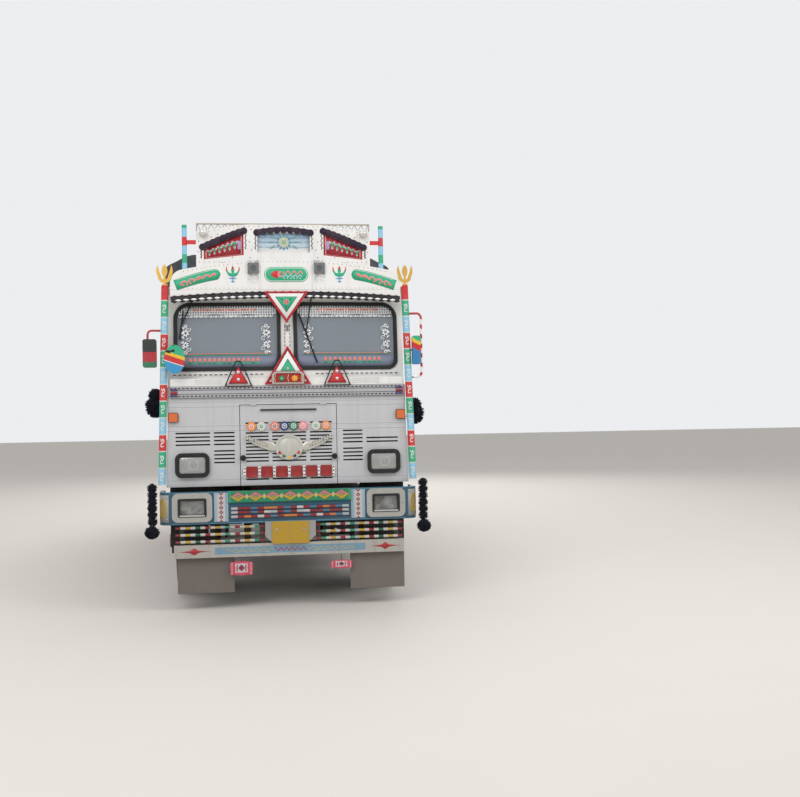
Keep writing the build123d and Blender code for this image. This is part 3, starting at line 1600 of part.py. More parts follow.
def write(name, shapes):
    solids = []
    for shape in shapes if isinstance(shapes, list) else [shapes]:
        solids += list(shape.solids())
    part = solids[0] if len(solids) == 1 else Compound(children=solids)
    part.label = name
    export_step(part, os.path.join("parts", name + ".step"))


def build():
    os.makedirs("parts", exist_ok=True)
    for name, s in sides:
        write("front_tyre_" + name, tyre(s * front_track / 2, front_axle))
        write("front_wheel_" + name, front_wheel(s))
        twin = [tyre(s * (rear_track / 2 + k * twin_spacing / 2), rear_axle) for k in (-1, 1)]
        write("rear_tyres_" + name, twin)
        write("rear_wheels_" + name, rear_wheels(s))
        write("knuckle_" + name, knuckle(s))
        write("cab_side_" + name, cab_side(s))
        write("door_" + name, door(s))
        write("door_glass_" + name, door_glass(s))
        write("load_wall_" + name, wall(s))
        write("rear_leaf_" + name, rear_leaf(s))
    write("chassis_frame", [rail(-1), rail(1)] + cross_members())
    write("front_axle_beam", front_beam())
    write("tie_rod", tie_rod())
    write("rear_axle", rear_axle_housing())
    write("leaf_springs", springs())
    write("engine_block", [engine(), radiator(), propeller_shaft()])
    write("under_tanks", under_tanks() + [exhaust()])
    write("side_guards", side_guards())
    write("front_bumper", bumper())
    write("bumper_trim", lamp_plates() + bumper_bars() + plate_and_bracket())
    write("front_lamps", bumper_lamps() + head_lamps() + marker_lamps())
    write("valance", [valance()] + front_flaps())
    write("front_panel", front_panel())
    write("hood_flap", hood_flap())
    write("flap_fittings", flap_fittings())
    write("screen_frame", [screen_frame(), moulding(), sill()])
    write("screen_seals", screen_seals() + wipers())
    write("cab_glass", screen_glass() + cab_quarter_glass())
    write("cab_rear_wall", cab_rear_wall())
    write("cab_floor", [cab_floor(), engine_cover()] + seats())
    write("seat_cushions", seat_cushions())
    write("dashboard", [dashboard(), steering_wheel()])
    write("cab_roof", cab_roof())
    write("forehead", [forehead(), brow_trim()] + brow_boxes())
    write("sign_board", [joined([sign_board(), sign_rail()] + roof_posts())])
    write("corner_poles", poles_with_tridents())
    write("warning_triangles", warning_triangles())
    write("side_mirrors", side_mirrors())
    write("steps_and_mudguards", front_mudguards() + cab_steps())
    write("load_floor", load_floor())
    write("headboard", headboard())
    write("tailgate", tailgate())
    write("roof_bows", roof_bows())
    write("tarpaulin", tarpaulin())
    write("rear_bumper", rear_bumper() + tail_lamps() + rear_flaps())
    write("tassels", tassels())
    write("cloth_tags", cloth_tags())
    write("towing_plate", towing_plate())


build()
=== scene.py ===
import bpy
import bmesh
import numpy as np
from mathutils import Matrix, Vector
from math import cos, pi, radians, sin, sqrt, tan


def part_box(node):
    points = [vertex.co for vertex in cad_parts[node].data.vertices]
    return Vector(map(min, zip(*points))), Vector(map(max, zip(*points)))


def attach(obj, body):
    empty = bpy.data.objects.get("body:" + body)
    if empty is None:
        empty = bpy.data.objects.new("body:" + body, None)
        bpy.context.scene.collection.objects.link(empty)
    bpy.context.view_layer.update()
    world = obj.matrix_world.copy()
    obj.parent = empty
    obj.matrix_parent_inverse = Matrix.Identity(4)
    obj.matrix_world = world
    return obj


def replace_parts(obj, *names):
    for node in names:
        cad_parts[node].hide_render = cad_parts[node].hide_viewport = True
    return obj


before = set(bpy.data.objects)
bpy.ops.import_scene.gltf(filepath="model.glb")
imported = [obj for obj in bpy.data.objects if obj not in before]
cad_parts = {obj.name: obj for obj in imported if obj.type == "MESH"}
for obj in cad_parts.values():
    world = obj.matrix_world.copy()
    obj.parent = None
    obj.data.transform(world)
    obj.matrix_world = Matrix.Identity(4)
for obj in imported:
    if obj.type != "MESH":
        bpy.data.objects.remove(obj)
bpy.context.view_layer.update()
print("stage: frame loaded")

# Places that many pieces share, in metres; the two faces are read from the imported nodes
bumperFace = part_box("front_bumper")[0][1]
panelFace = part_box("front_panel")[0][1]
browFace = bumperFace + 0.050
signFace = bumperFace + 0.550
sideWays = (("left", -1), ("right", 1))
mouldTop = 2.080
screenVee = radians(4.0)
screenRake = radians(3.0)
wallEnds = (-2.045, 4.105)
postHalf = 0.030
postPitch = (wallEnds[1] - wallEnds[0] - 2 * postHalf) / 8
poleFoot = 1.172
poleBand = 0.155
channelHeight = 0.552
headLamp = (0.896, 1.346)
hubHeight = 0.525

paints = {
    "white": (0.80, 0.79, 0.77),
    "cream": (0.66, 0.63, 0.57),
    "green": (0.030, 0.400, 0.215),
    "darkGreen": (0.012, 0.170, 0.080),
    "red": (0.400, 0.012, 0.018),
    "brightRed": (0.600, 0.034, 0.038),
    "darkRed": (0.330, 0.016, 0.030),
    "pink": (0.820, 0.260, 0.290),
    "salmon": (0.760, 0.230, 0.160),
    "orange": (0.860, 0.270, 0.050),
    "yellow": (0.780, 0.480, 0.030),
    "paleYellow": (0.800, 0.660, 0.260),
    "blue": (0.075, 0.250, 0.420),
    "sky": (0.260, 0.560, 0.760),
    "paleBlue": (0.480, 0.640, 0.740),
    "navy": (0.020, 0.040, 0.170),
    "purple": (0.090, 0.050, 0.170),
    "silver": (0.620, 0.640, 0.680),
    "grey": (0.220, 0.225, 0.235),
    "black": (0.010, 0.010, 0.012),
    "postRed": (0.400, 0.035, 0.035),
    "barGreen": (0.012, 0.340, 0.150),
    "fieldGreen": (0.055, 0.300, 0.150),
    "stemBlue": (0.120, 0.330, 0.620),
    "tileRed": (0.300, 0.005, 0.006),
    "lace": (0.950, 0.950, 0.960),
    "net": (0.920, 0.930, 0.950),
    "curl": (0.900, 0.910, 0.930),
    "pearl": (0.560, 0.550, 0.500),
    "dot": (0.120, 0.070, 0.060),
    "string": (0.100, 0.090, 0.080),
    "nut": (0.160, 0.155, 0.150),
    "dust": (0.310, 0.270, 0.225),
}


# Shader wiring: a socket that adds Math nodes when it is used in arithmetic
class Wire:
    def __init__(self, bench, socket):
        self.bench = bench
        self.socket = socket

    def calc(self, kind, *others):
        return self.bench.add("ShaderNodeMath", {"operation": kind}, (self,) + others)

    def __add__(self, other):
        return self.calc("ADD", other)

    __radd__ = __add__

    def __sub__(self, other):
        return self.calc("SUBTRACT", other)

    def __rsub__(self, other):
        return self.bench.add("ShaderNodeMath", {"operation": "SUBTRACT"}, (other, self))

    def __mul__(self, other):
        return self.calc("MULTIPLY", other)

    def __truediv__(self, other):
        return self.calc("DIVIDE", other)

    def near(self, middle, reach):  # 1 where the value is within reach of middle
        return self.calc("COMPARE", middle, reach)

    def over(self, limit):
        return self.calc("GREATER_THAN", limit)

    def under(self, limit):
        return self.calc("LESS_THAN", limit)

    def wrap(self, period):  # the remainder after whole periods, never negative
        return self.calc("FLOORED_MODULO", period)

    def size(self):
        return self.calc("ABSOLUTE")

    def lines(self, *rows):  # the sum of narrow bands, each with its middle and reach
        return sum(self.near(*row) for row in rows)

    def rim(self, margin):  # 1 near both ends of a value that runs from 0 to 1
        return self.under(margin) + self.over(1 - margin)

    def ease(self, low, high):  # 0 at low to 1 at high, smooth between, also with low above high
        settings = {"interpolation_type": "SMOOTHSTEP"}
        return self.bench.add("ShaderNodeMapRange", settings, {0: self, 1: low, 2: high})


# One material's tree, with its shader and the Object coordinates at hand
class Bench:
    def __init__(self, name, **fixed):
        fixed.setdefault("Specular_IOR_Level", 0.28)
        self.material = bpy.data.materials.new(name)
        self.material.use_nodes = True
        self.tree = self.material.node_tree
        self.tree.nodes.clear()
        output = self.tree.nodes.new("ShaderNodeOutputMaterial")
        self.shader = self.tree.nodes.new("ShaderNodeBsdfPrincipled")
        self.tree.links.new(self.shader.outputs[0], output.inputs[0])
        for socket, value in fixed.items():
            self.plug(self.shader.inputs[socket.replace("_", " ")], value)
        self.place = self.add("ShaderNodeTexCoord", {}, {}, "Object")
        axes = self.tree.nodes.new("ShaderNodeSeparateXYZ")
        self.tree.links.new(self.place.socket, axes.inputs[0])
        self.x, self.y, self.z = (Wire(self, axes.outputs[i]) for i in range(3))

    def plug(self, socket, value):
        value = paints[value] if isinstance(value, str) else value
        if isinstance(value, Wire):
            self.tree.links.new(value.socket, socket)
        elif socket.type == "RGBA" and len(value) == 3:
            socket.default_value = tuple(value) + (1.0,)
        else:
            socket.default_value = value

    def add(self, kind, settings, inputs, output=0):
        node = self.tree.nodes.new(kind)
        for key, value in settings.items():
            if key == "stops":
                ramp = node.color_ramp.elements
                while len(ramp) < len(value):
                    ramp.new(1.0)
                for element, (at, colour) in zip(ramp, value):
                    element.position = at
                    element.color = tuple(colour) + (1.0,)
            else:
                setattr(node, key, value)
        pairs = inputs.items() if isinstance(inputs, dict) else enumerate(inputs)
        for key, value in pairs:
            self.plug(node.inputs[key], value)
        return Wire(self, node.outputs[output])

    def blend(self, share, first, second):
        return self.add("ShaderNodeMix", {"data_type": "RGBA"}, {0: share, 6: first, 7: second}, 2)

    def layers(self, colour, *coats):  # each coat covers those before it by its share
        for share, coat in coats:
            colour = self.blend(share, colour, coat)
        return colour

    def stretched(self, scale):
        return self.add("ShaderNodeMapping", {}, {"Vector": self.place, "Scale": scale})

    def noise(self, scale, detail=3.0, vector=None):
        inputs = {"Vector": vector or self.place, "Scale": scale, "Detail": detail, "Roughness": 0.55}
        return self.add("ShaderNodeTexNoise", {}, inputs)

    def cells(self, scale, vector=None):
        return self.add("ShaderNodeTexVoronoi", {}, {"Vector": vector or self.place, "Scale": scale})

    def ramp(self, value, stops):
        return self.add("ShaderNodeValToRGB", {"stops": stops}, (value,))

    def tint(self):
        return self.add("ShaderNodeAttribute", {"attribute_name": "tint"}, {})

    def finish(self, colour, rough=None, height=None, strength=0.2, reach=0.002, **more):
        self.plug(self.shader.inputs["Base Color"], colour)
        if rough is not None:
            self.plug(self.shader.inputs["Roughness"], rough)
        if height is not None:
            bump = self.add("ShaderNodeBump", {}, {"Height": height, "Strength": strength,
                                                  "Distance": reach})
            self.plug(self.shader.inputs["Normal"], bump)
        for socket, value in more.items():
            self.plug(self.shader.inputs[socket.replace("_", " ")], value)
        return self.material


# Road dust settles low on the truck and in patches: 1 is fully dusty
def dustOn(bench, low, high, most):
    patches = bench.noise(2.3, 5.0).ease(0.30, 0.72)
    fine = bench.noise(38.0, 3.0)
    return (bench.z.ease(high, low) * 0.75 + 0.12) * (patches * 0.7 + fine * 0.5) * most


# Rain marks: noise drawn out along the height
def streaksOn(bench):
    return bench.noise(16.0, 3.0, bench.stretched((1.0, 1.0, 0.07))).ease(0.46, 0.78)


# Painted shade: soaks a paint towards black below the bumper's top, where the front lies in shade
def grimed(bench, colour):
    return bench.blend(bench.z.ease(1.20, 1.09) * 0.38, colour, (0.010, 0.009, 0.008))


# Worn enamel on a bench at hand or on a new one by name: tone, rain marks, dust, painted shade low down
# and a ripple
def enamel(source, colour, sheen=0.34, dirt=0.35, low=0.2, high=2.2, metal=0.0, coat=0.0):
    bench = source if isinstance(source, Bench) else Bench(source, Coat_Roughness=0.12)
    tone = bench.noise(5.0, 4.0).ease(0.35, 0.70)
    dull = bench.blend(0.18, colour, (0.30, 0.28, 0.26))
    base = bench.blend(tone * 0.45, colour, dull)
    dust = dustOn(bench, low, high, dirt * 0.4)
    streaks = streaksOn(bench) * dirt * 0.45
    base = bench.blend(streaks, base, (0.30, 0.27, 0.24))
    # dust, then painted shade that darkens the paint below the bumper's top
    base = grimed(bench, bench.blend(dust, base, "dust"))
    speck = bench.noise(160.0, 2.0)
    rough = dust * 0.45 + speck * 0.08 + (sheen - 0.02)
    ripple = bench.noise(9.0, 2.0) * 0.8 + speck * 0.06
    return bench.finish(base, rough, ripple, 0.12, 0.004, Metallic=metal, Coat_Weight=coat)


def dress(material, *nodes):
    for node in nodes:
        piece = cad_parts[node]
        if not piece.material_slots:
            piece.data.materials.append(material)
        for materialSlot in piece.material_slots:
            materialSlot.material = material


# Meshes: a pile gathers grids of points, each with its tint, and makes one closed-shelled mesh
class Pile:
    def __init__(self):
        self.points, self.faces, self.tints, self.count = [], [], [], 0

    # grid has the shape (copies..., rows, columns, 3); columns join up when loop is set
    def add(self, grid, tint=(1.0, 1.0, 1.0), loop=True, ring=False):
        grid = np.asarray(grid, float)
        rows, columns = grid.shape[-3], grid.shape[-2]
        grid = grid.reshape(-1, rows * columns, 3)
        index = np.arange(rows * columns).reshape(rows, columns)
        down = np.roll(index, -1, 0) if ring else index[1:]
        here = index if ring else index[:-1]
        if loop:
            quads = np.stack([here, np.roll(here, -1, 1), np.roll(down, -1, 1), down], -1)
        else:
            quads = np.stack([here[:, :-1], here[:, 1:], down[:, 1:], down[:, :-1]], -1)
        quads = quads.reshape(-1, 4)
        copies = np.arange(len(grid))[:, None, None] * rows * columns
        self.faces.append((quads[None] + copies + self.count).reshape(-1, 4))
        self.points.append(grid.reshape(-1, 3))
        tint = np.asarray(paints[tint] if isinstance(tint, str) else tint, float)
        tint = tint[:, None] if tint.ndim == 2 else tint
        self.tints.append(np.broadcast_to(tint, (len(grid), rows * columns, 3)).reshape(-1, 3))
        self.count += len(grid) * rows * columns
        return self

    def make(self, name, material, body="truck", smooth=None, closed=True, ride=True):
        mesh = bpy.data.meshes.new(name)
        points = np.concatenate(self.points).astype(np.float32)
        faces = np.concatenate(self.faces).astype(np.int32)
        mesh.vertices.add(len(points))
        mesh.vertices.foreach_set("co", points.ravel())
        mesh.loops.add(faces.size)
        mesh.loops.foreach_set("vertex_index", faces.ravel())
        mesh.polygons.add(len(faces))
        mesh.polygons.foreach_set("loop_start", np.arange(0, faces.size, 4, dtype=np.int32))
        mesh.update(calc_edges=True)
        tint = mesh.attributes.new("tint", "FLOAT_COLOR", "POINT")
        colours = np.concatenate([np.concatenate(self.tints), np.ones((len(points), 1))], 1)
        tint.data.foreach_set("color", colours.astype(np.float32).ravel())
        tidy = bmesh.new()
        tidy.from_mesh(mesh)
        bmesh.ops.remove_doubles(tidy, verts=tidy.verts, dist=2e-6)
        bmesh.ops.dissolve_degenerate(tidy, edges=tidy.edges, dist=1e-6)
        if closed:
            bmesh.ops.recalc_face_normals(tidy, faces=tidy.faces)
        tidy.to_mesh(mesh)
        tidy.free()
        mesh.validate()
        if smooth is not None:
            mesh.polygons.foreach_set("use_smooth", np.ones(len(mesh.polygons), bool))
            mesh.set_sharp_from_angle(angle=radians(smooth))
        piece = bpy.data.objects.new(name, mesh)
        bpy.context.scene.collection.objects.link(piece)
        mesh.materials.append(material)
        if ride:
            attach(piece, body)
        return piece


# Where a flat drawing lies: along, up and out become x, y and z
def frontAt(y):
    return lambda a, b, d: np.stack(np.broadcast_arrays(a, y - d, b), -1)


def rearAt(y):
    return lambda a, b, d: np.stack(np.broadcast_arrays(a, y + d, b), -1)


def sideAt(x, s):
    return lambda a, b, d: np.stack(np.broadcast_arrays(s * (x + d), a, b), -1)


# The raked and vee-shaped windscreen: its outer face stands further back with x and with height
def screenAt(back):
    def place(a, b, d):
        y = panelFace + back + np.abs(a) * tan(screenVee) + (b - mouldTop) * tan(screenRake)
        return np.stack(np.broadcast_arrays(a, y - d, b), -1)
    return place


# Each centre with an outline's offsets round it
def about(centre, offsets):
    return np.asarray(centre, float)[..., None] + offsets


def moved(along, up, outline):
    return along + outline[0], up + outline[1]


def offCentre(line):
    line = np.asarray(line, float)
    middle = line.mean(-1, keepdims=True)
    return middle[..., None, :], (line - middle)[..., None, :]


# A piece with raised or sunk rings: the outline shrinks by each scale as its depth changes
def mound(place, along, up, scales, heights):
    (middleA, offA), (middleB, offB) = offCentre(along), offCentre(up)
    scales = np.asarray(scales, float)[:, None]
    a = middleA + offA * scales
    return place(a, middleB + offB * scales, np.asarray(heights, float)[:, None] + 0 * a)


# A flat piece: the outline, seen from its middle, runs from the back's middle out to the rim,
# forwards, in over a small ease to the front and to the front's middle
def slab(place, along, up, high, low=0.0, ease=0.0006):
    reach = np.hypot(offCentre(along)[1], offCentre(up)[1]).max()
    lip = min(ease, (high - low) / 2)
    return mound(place, along, up, (0.0, 1.0, 1.0, 1.0 - min(ease / reach, 0.4), 0.0),
                 (low, low, high - lip, high, high))


def circle(radius, count):
    turn = 2 * pi * np.arange(count) / count
    return radius * np.cos(turn), radius * np.sin(turn)


# Discs at many places at once: centre arrays and one radius
def discs(place, along, up, radius, high, low=0.0, count=16, ease=0.0006):
    a, b = circle(radius, count)
    return slab(place, about(along, a), about(up, b), high, low, ease)


def boxes(place, along, up, width, height, high, low=0.0):
    a = np.array([-0.5, 0.5, 0.5, -0.5]) * np.asarray(width, float)[..., None]
    b = np.array([-0.5, -0.5, 0.5, 0.5]) * np.asarray(height, float)[..., None]
    return slab(place, about(along, a), about(up, b), high, low)


# A leaf: two arcs that meet in points at both ends, its half width a sine of the way along
def leaf(place, along, up, length, width, angle, high, low=0.0, count=9):
    t = np.linspace(0, 1, count)
    half = width / 2 * np.sin(pi * t)
    lx = np.concatenate([t, t[-2:0:-1]]) * length
    ly = np.concatenate([half, -half[-2:0:-1]])
    angle = np.asarray(angle, float)[..., None]
    a = about(along, lx * np.cos(angle)) - ly * np.sin(angle)
    b = about(up, lx * np.sin(angle)) + ly * np.cos(angle)
    return slab(place, a, b, high, low)


# Closes a skin's two ends, each by a row gathered at its last ring's middle
def closeEnds(grid):
    first, last = grid[..., :1, :, :], grid[..., -1:, :, :]
    ends = [row.mean(-2, keepdims=True) + 0 * row for row in (first, last)]
    return np.concatenate([ends[0], grid, ends[1]], -3)


# A painted line: points to both sides of a path by half its width, with thickness and closed ends
def ribbon(place, along, up, width, high, low=0.0):
    along, up = (np.asarray(line, float) for line in np.broadcast_arrays(along, up))
    ra, rb = np.gradient(along, axis=-1), np.gradient(up, axis=-1)
    size = np.hypot(ra, rb) + 1e-12
    half = np.broadcast_to(np.asarray(width, float) / 2, along.shape)
    way = np.array([-1.0, 1.0, 1.0, -1.0])
    a = along[..., None] + (-rb / size * half)[..., None] * way
    b = up[..., None] + (ra / size * half)[..., None] * way
    return closeEnds(place(a, b, np.array([low, low, high, high]) + 0 * a))


# A spiral line: the radius shrinks evenly as the angle turns
def scroll(place, along, up, size, turns, width, high, flip=1, start=0.0):
    t = np.linspace(0, 1, 40)
    turn = start + flip * 2 * pi * turns * t
    radius = size * (1 - 0.86 * t)
    w = width * (1 - 0.5 * t)
    return ribbon(place, along + radius * np.cos(turn), up + radius * np.sin(turn), w, high)


# A round bar: a circle carried along a path, its radius given at each point, closed at both ends
def tube(path, radius, sides=12):
    path = np.asarray(path, float)
    run = np.gradient(path, axis=-2)
    run /= np.linalg.norm(run, axis=-1, keepdims=True) + 1e-12
    up = np.where(np.abs(run[..., 2:3]).mean() > 0.9, [[1.0, 0.0, 0.0]], [[0.0, 0.0, 1.0]])
    side = np.cross(run, up)
    side /= np.linalg.norm(side, axis=-1, keepdims=True) + 1e-12
    other = np.cross(side, run)
    turn = 2 * pi * np.arange(sides) / sides
    r = np.broadcast_to(np.asarray(radius, float), path.shape[:-1])[..., None, None]
    grid = path[..., None, :] + r * (np.cos(turn)[:, None] * side[..., None, :] +
                                     np.sin(turn)[:, None] * other[..., None, :])
    first = path[..., :1, None, :] + 0 * grid[..., :1, :, :]
    last = path[..., -1:, None, :] + 0 * grid[..., -1:, :, :]
    return np.concatenate([first, grid, last], -3)


# A smooth line through the points: between each pair a cubic that also heeds the points beyond
def smoothPath(points, count):
    points = np.asarray(points, float)
    t = np.linspace(0, len(points) - 1, count)
    i = np.clip(t.astype(int), 0, len(points) - 2)
    f = (t - i)[:, None]
    padded = np.vstack([2 * points[0] - points[1], points, 2 * points[-1] - points[-2]])
    p0, p1, p2, p3 = (padded[i + k] for k in range(4))
    return 0.5 * (2 * p1 + (p2 - p0) * f + (2 * p0 - 5 * p1 + 4 * p2 - p3) * f ** 2 +
                  (3 * p1 - p0 - 3 * p2 + p3) * f ** 3)


# Camera: placed by the front's mirrored features, turned a little right, up and clockwise
camera = {
    "spot": (-0.4524, -14.5846, 1.850),
    "yaw": 8.192,
    "pitch": 0.476,
    "roll": -0.934,
    "lens": 50.13,
}


def makeCamera():
    yaw, pitch, roll = (radians(camera[key]) for key in ("yaw", "pitch", "roll"))
    ahead, up = np.array([sin(yaw), cos(yaw), 0.0]), np.array([0.0, 0.0, 1.0])
    right = np.cross(ahead, up)
    view = ahead * cos(pitch) + up * sin(pitch)
    tall = up * cos(pitch) - ahead * sin(pitch)
    across = right * cos(roll) + tall * sin(roll)
    upright = tall * cos(roll) - right * sin(roll)
    data = bpy.data.cameras.new("camera")
    data.sensor_width = 36.0
    data.lens = camera["lens"]
    data.clip_end = 400.0
    eye = bpy.data.objects.new("camera", data)
    bpy.context.scene.collection.objects.link(eye)
    matrix = np.identity(4)
    matrix[:3, 0], matrix[:3, 1], matrix[:3, 2] = across, upright, -view
    matrix[:3, 3] = camera["spot"]
    eye.matrix_world = Matrix(matrix.tolist())
    bpy.context.scene.camera = eye


makeCamera()
bpy.context.scene.view_settings.view_transform = "Standard"

# Floor, backdrop colour and soft studio light
studio = {
    "floorColour": (0.66, 0.63, 0.59),
    "sky": (0.84, 0.85, 0.87),
    "skyLight": 0.62,
    "lamps": (  # where, aim, size, power
        ((-5.0, -13.0, 9.0), (0.0, -3.0, 1.8), 7.0, 620.0),
        ((7.0, -9.0, 8.0), (0.0, 0.0, 1.8), 6.0, 330.0),
        ((0.0, 2.0, 12.0), (0.0, 0.0, 1.0), 9.0, 520.0),
        ((3.0, 13.0, 8.0), (0.0, 3.0, 1.8), 7.0, 520.0),
    ),
}


def makeStudio():
    world = bpy.data.worlds.new("studio")
    bpy.context.scene.world = world
    world.use_nodes = True
    tree = world.node_tree
    tree.nodes.clear()
    kinds = ("OutputWorld", "Background", "Background", "LightPath", "Math", "Math", "MixShader")
    output, shown, light, path, most, most2, mix = (tree.nodes.new("ShaderNode" + kind)
                                                    for kind in kinds)
    shown.inputs[0].default_value = studio["sky"] + (1.0,)
    light.inputs[0].default_value = (1.0, 1.0, 1.0, 1.0)
    light.inputs[1].default_value = studio["skyLight"]
    most.operation = most2.operation = "MAXIMUM"
    for start, end in ((path.outputs["Is Camera Ray"], most.inputs[0]),
                       (path.outputs["Is Glossy Ray"], most.inputs[1]),
                       (most.outputs[0], most2.inputs[0]),
                       (path.outputs["Is Transmission Ray"], most2.inputs[1]),
                       (most2.outputs[0], mix.inputs[0]), (light.outputs[0], mix.inputs[1]),
                       (shown.outputs[0], mix.inputs[2]), (mix.outputs[0], output.inputs[0])):
        tree.links.new(start, end)
    for i, (where, aim, size, power) in enumerate(studio["lamps"]):
        data = bpy.data.lights.new("softbox" + str(i), "AREA")
        data.size = size
        data.energy = power
        lamp = bpy.data.objects.new(data.name, data)
        lamp.location = where
        way = np.array(aim) - np.array(where)
        flat = sqrt(way[0] ** 2 + way[1] ** 2)
        lamp.rotation_euler = (pi / 2 + np.arctan2(way[2], flat), 0.0,
                               np.arctan2(way[1], way[0]) - pi / 2)
        bpy.context.scene.collection.objects.link(lamp)
    bench = Bench("pale floor")
    grain = bench.noise(1.4, 5.0)
    colour = bench.blend(grain * 0.25, studio["floorColour"], (0.60, 0.57, 0.53))
    material = bench.finish(colour, 0.85, bench.noise(60.0, 4.0), 0.15, 0.003)
    t = np.linspace(-60.0, 60.0, 5)
    grid = np.stack(np.meshgrid(t, t, [0.0], indexing="ij"), -1)[:, :, 0]
    floor = Pile().add(grid, loop=False).make("floor", material, closed=False, ride=False)


makeStudio()
print("stage: camera, floor and light made")


# Finishes of the imported nodes

# The grey lower front: pressed creases drawn as dark lines of painted shade, two of them with a painted
# highlight on the lip above
def pressedPanel():
    bench = Bench("pressed front panel")
    # painted shade: dark lines in the pressed creases
    creases = bench.z.lines((1.885, 0.0016), (1.710, 0.0022), (1.664, 0.0022), (1.930, 0.0012),
                            (1.205, 0.0014))
    # painted highlights: bright lines on the lips above two creases
    lips = bench.z.lines((1.7155, 0.0022), (1.6695, 0.0022))
    colour = bench.layers((0.52, 0.525, 0.545), (creases * 0.55, (0.07, 0.07, 0.08)),
                          (lips * 0.5, (0.74, 0.74, 0.76)))
    return enamel(bench, colour, 0.36, 0.30, 0.9, 1.7)


# A darker band under the three thin bars, as the lower edge turns from the light
def bumperBlue():
    bench = Bench("bumper blue")
    colour = bench.blend(bench.z.ease(0.90, 0.82) * 0.4, (0.040, 0.165, 0.265), (0.012, 0.055, 0.12))
    return enamel(bench, colour, 0.30, 0.30, 0.4, 1.3)


# The load body's sides: red posts, and fields of blue, yellow and green between the rails
def wallPanels():
    bench = Bench("load body paint")
    z = bench.z
    cell = (bench.y - wallEnds[0] - postHalf).wrap(postPitch) / postPitch
    post = cell.rim(0.052).over(0.5)
    low, middle, inset, thin = 1.92, 2.53, 0.078, 0.006
    border = cell.rim(0.12) + z.lines((low, 0.075), (middle, 0.075), (1.30, 0.10), (3.265, 0.085))
    line = z.lines(*((rail + way * inset, thin) for rail in (low, middle) for way in (-1, 1)))
    line = line + cell.lines((0.12, 0.008), (0.88, 0.008))
    stripe = (z * 6.25).wrap(1.0).under(0.18)
    field = bench.layers("blue", (z.under(low), "fieldGreen"), (z.over(middle), (0.50, 0.42, 0.10)),
                         (border.over(0.5), (0.46, 0.040, 0.040)), (line.over(0.5), "cream"),
                         (post, "postRed"), (stripe * post, "cream"))
    return enamel(bench, field, 0.45, 0.50, 1.2, 2.6)


# The tail and headboard: blue fields in red with a cream line, and above them green in yellow
def gatePaint():
    bench = Bench("gate paint")
    across = (bench.x + 1.214).wrap(0.3913) / 0.3913
    border = across.near(0.5, 0.36)
    lines = across.lines((0.14, 0.012), (0.86, 0.012))
    green = bench.blend(border, (0.46, 0.40, 0.10), "fieldGreen")
    colour = bench.layers((0.44, 0.040, 0.040), (border, (0.075, 0.25, 0.42)),
                          (lines.over(0.5), "cream"), (bench.z.over(2.19), green))
    return enamel(bench, colour, 0.45, 0.55, 1.1, 2.6)


def blackIron(name, colour, dirt):
    return enamel(name, colour, 0.55, dirt, 0.1, 1.6)


# Rusty iron: rust in patches over the colour, and dust over both
def castIron(name, colour=(0.10, 0.085, 0.075)):
    bench = Bench(name, Metallic=0.35)
    rust = bench.noise(11.0, 6.0).ease(0.40, 0.68)
    colour = bench.blend(rust * 0.7, colour, (0.20, 0.085, 0.045))
    dust = dustOn(bench, 0.1, 1.5, 0.4)
    colour = bench.blend(dust, colour, "dust")
    return bench.finish(colour, rust * 0.25 + 0.55, bench.noise(70.0, 4.0), 0.4, 0.003)


# Red rims with dark patches, dusty in the dish
def wheelPaint():
    bench = Bench("wheel paint")
    colour = bench.blend(bench.noise(6.0, 4.0) * 0.4, (0.34, 0.045, 0.035), (0.16, 0.04, 0.03))
    return enamel(bench, colour, 0.5, 1.0, 0.2, 1.4)


def rubber(name, colour=(0.018, 0.018, 0.019), dirt=0.35, sheen=0.55):
    bench = Bench(name, Specular_IOR_Level=0.25)
    base = bench.blend(bench.noise(20.0, 3.0) * 0.4, colour, tuple(c * 1.8 for c in colour))
    base = bench.blend(dustOn(bench, 0.2, 1.6, dirt * 0.4), base, "dust")
    return bench.finish(base, bench.noise(30.0, 2.0) * 0.15 + sheen, bench.noise(220.0, 2.0), 0.15,
                        0.0008)


def paneGlass(name, colour, alpha):
    bench = Bench(name, Roughness=0.04, IOR=1.52)
    smear = bench.noise(2.2, 4.0, bench.stretched((1.0, 1.0, 0.35)))
    tone = bench.blend(smear * 0.6, colour, tuple(c * 1.30 for c in colour))
    dirtSpeck = bench.noise(90.0, 2.0).ease(0.66, 0.8)
    tone = bench.blend(dirtSpeck * 0.25, tone, (0.45, 0.43, 0.40))
    bench.plug(bench.shader.inputs["Alpha"], dirtSpeck * 0.10 + alpha)
    return bench.finish(tone)


def planks():
    bench = Bench("deck planks")
    board = (bench.x + 2.0).wrap(0.145) / 0.145
    gap = board.lines((0.0, 0.02), (1.0, 0.02))
    grain = bench.noise(7.0, 6.0, bench.stretched((14.0, 0.6, 14.0)))
    colour = bench.ramp(grain, ((0.2, (0.13, 0.085, 0.05)), (0.8, (0.34, 0.25, 0.16))))
    colour = bench.blend(gap.over(0.5), colour, (0.02, 0.016, 0.012))
    return bench.finish(colour, 0.8, grain - gap * 1.5, 0.5, 0.003)


def bareAluminium(name):
    bench = Bench(name, Metallic=0.85)
    brush = bench.noise(9.0, 4.0, bench.stretched((1.0, 1.0, 30.0)))
    bright = (0.60, 0.60, 0.61)
    tone = bench.blend(brush * 0.5, bright, tuple(c * 0.7 for c in bright))
    tone = bench.blend(dustOn(bench, 0.3, 2.4, 0.25), tone, "dust")
    return bench.finish(tone, brush * 0.2 + 0.34, brush, 0.12, 0.0008)


def dashPlastic():
    bench = Bench("dash plastic")
    colour = bench.blend(bench.noise(4.0, 3.0) * 0.5, (0.012, 0.012, 0.013), (0.024, 0.023, 0.022))
    return bench.finish(colour, 0.6, bench.cells(420.0), 0.3, 0.0006)


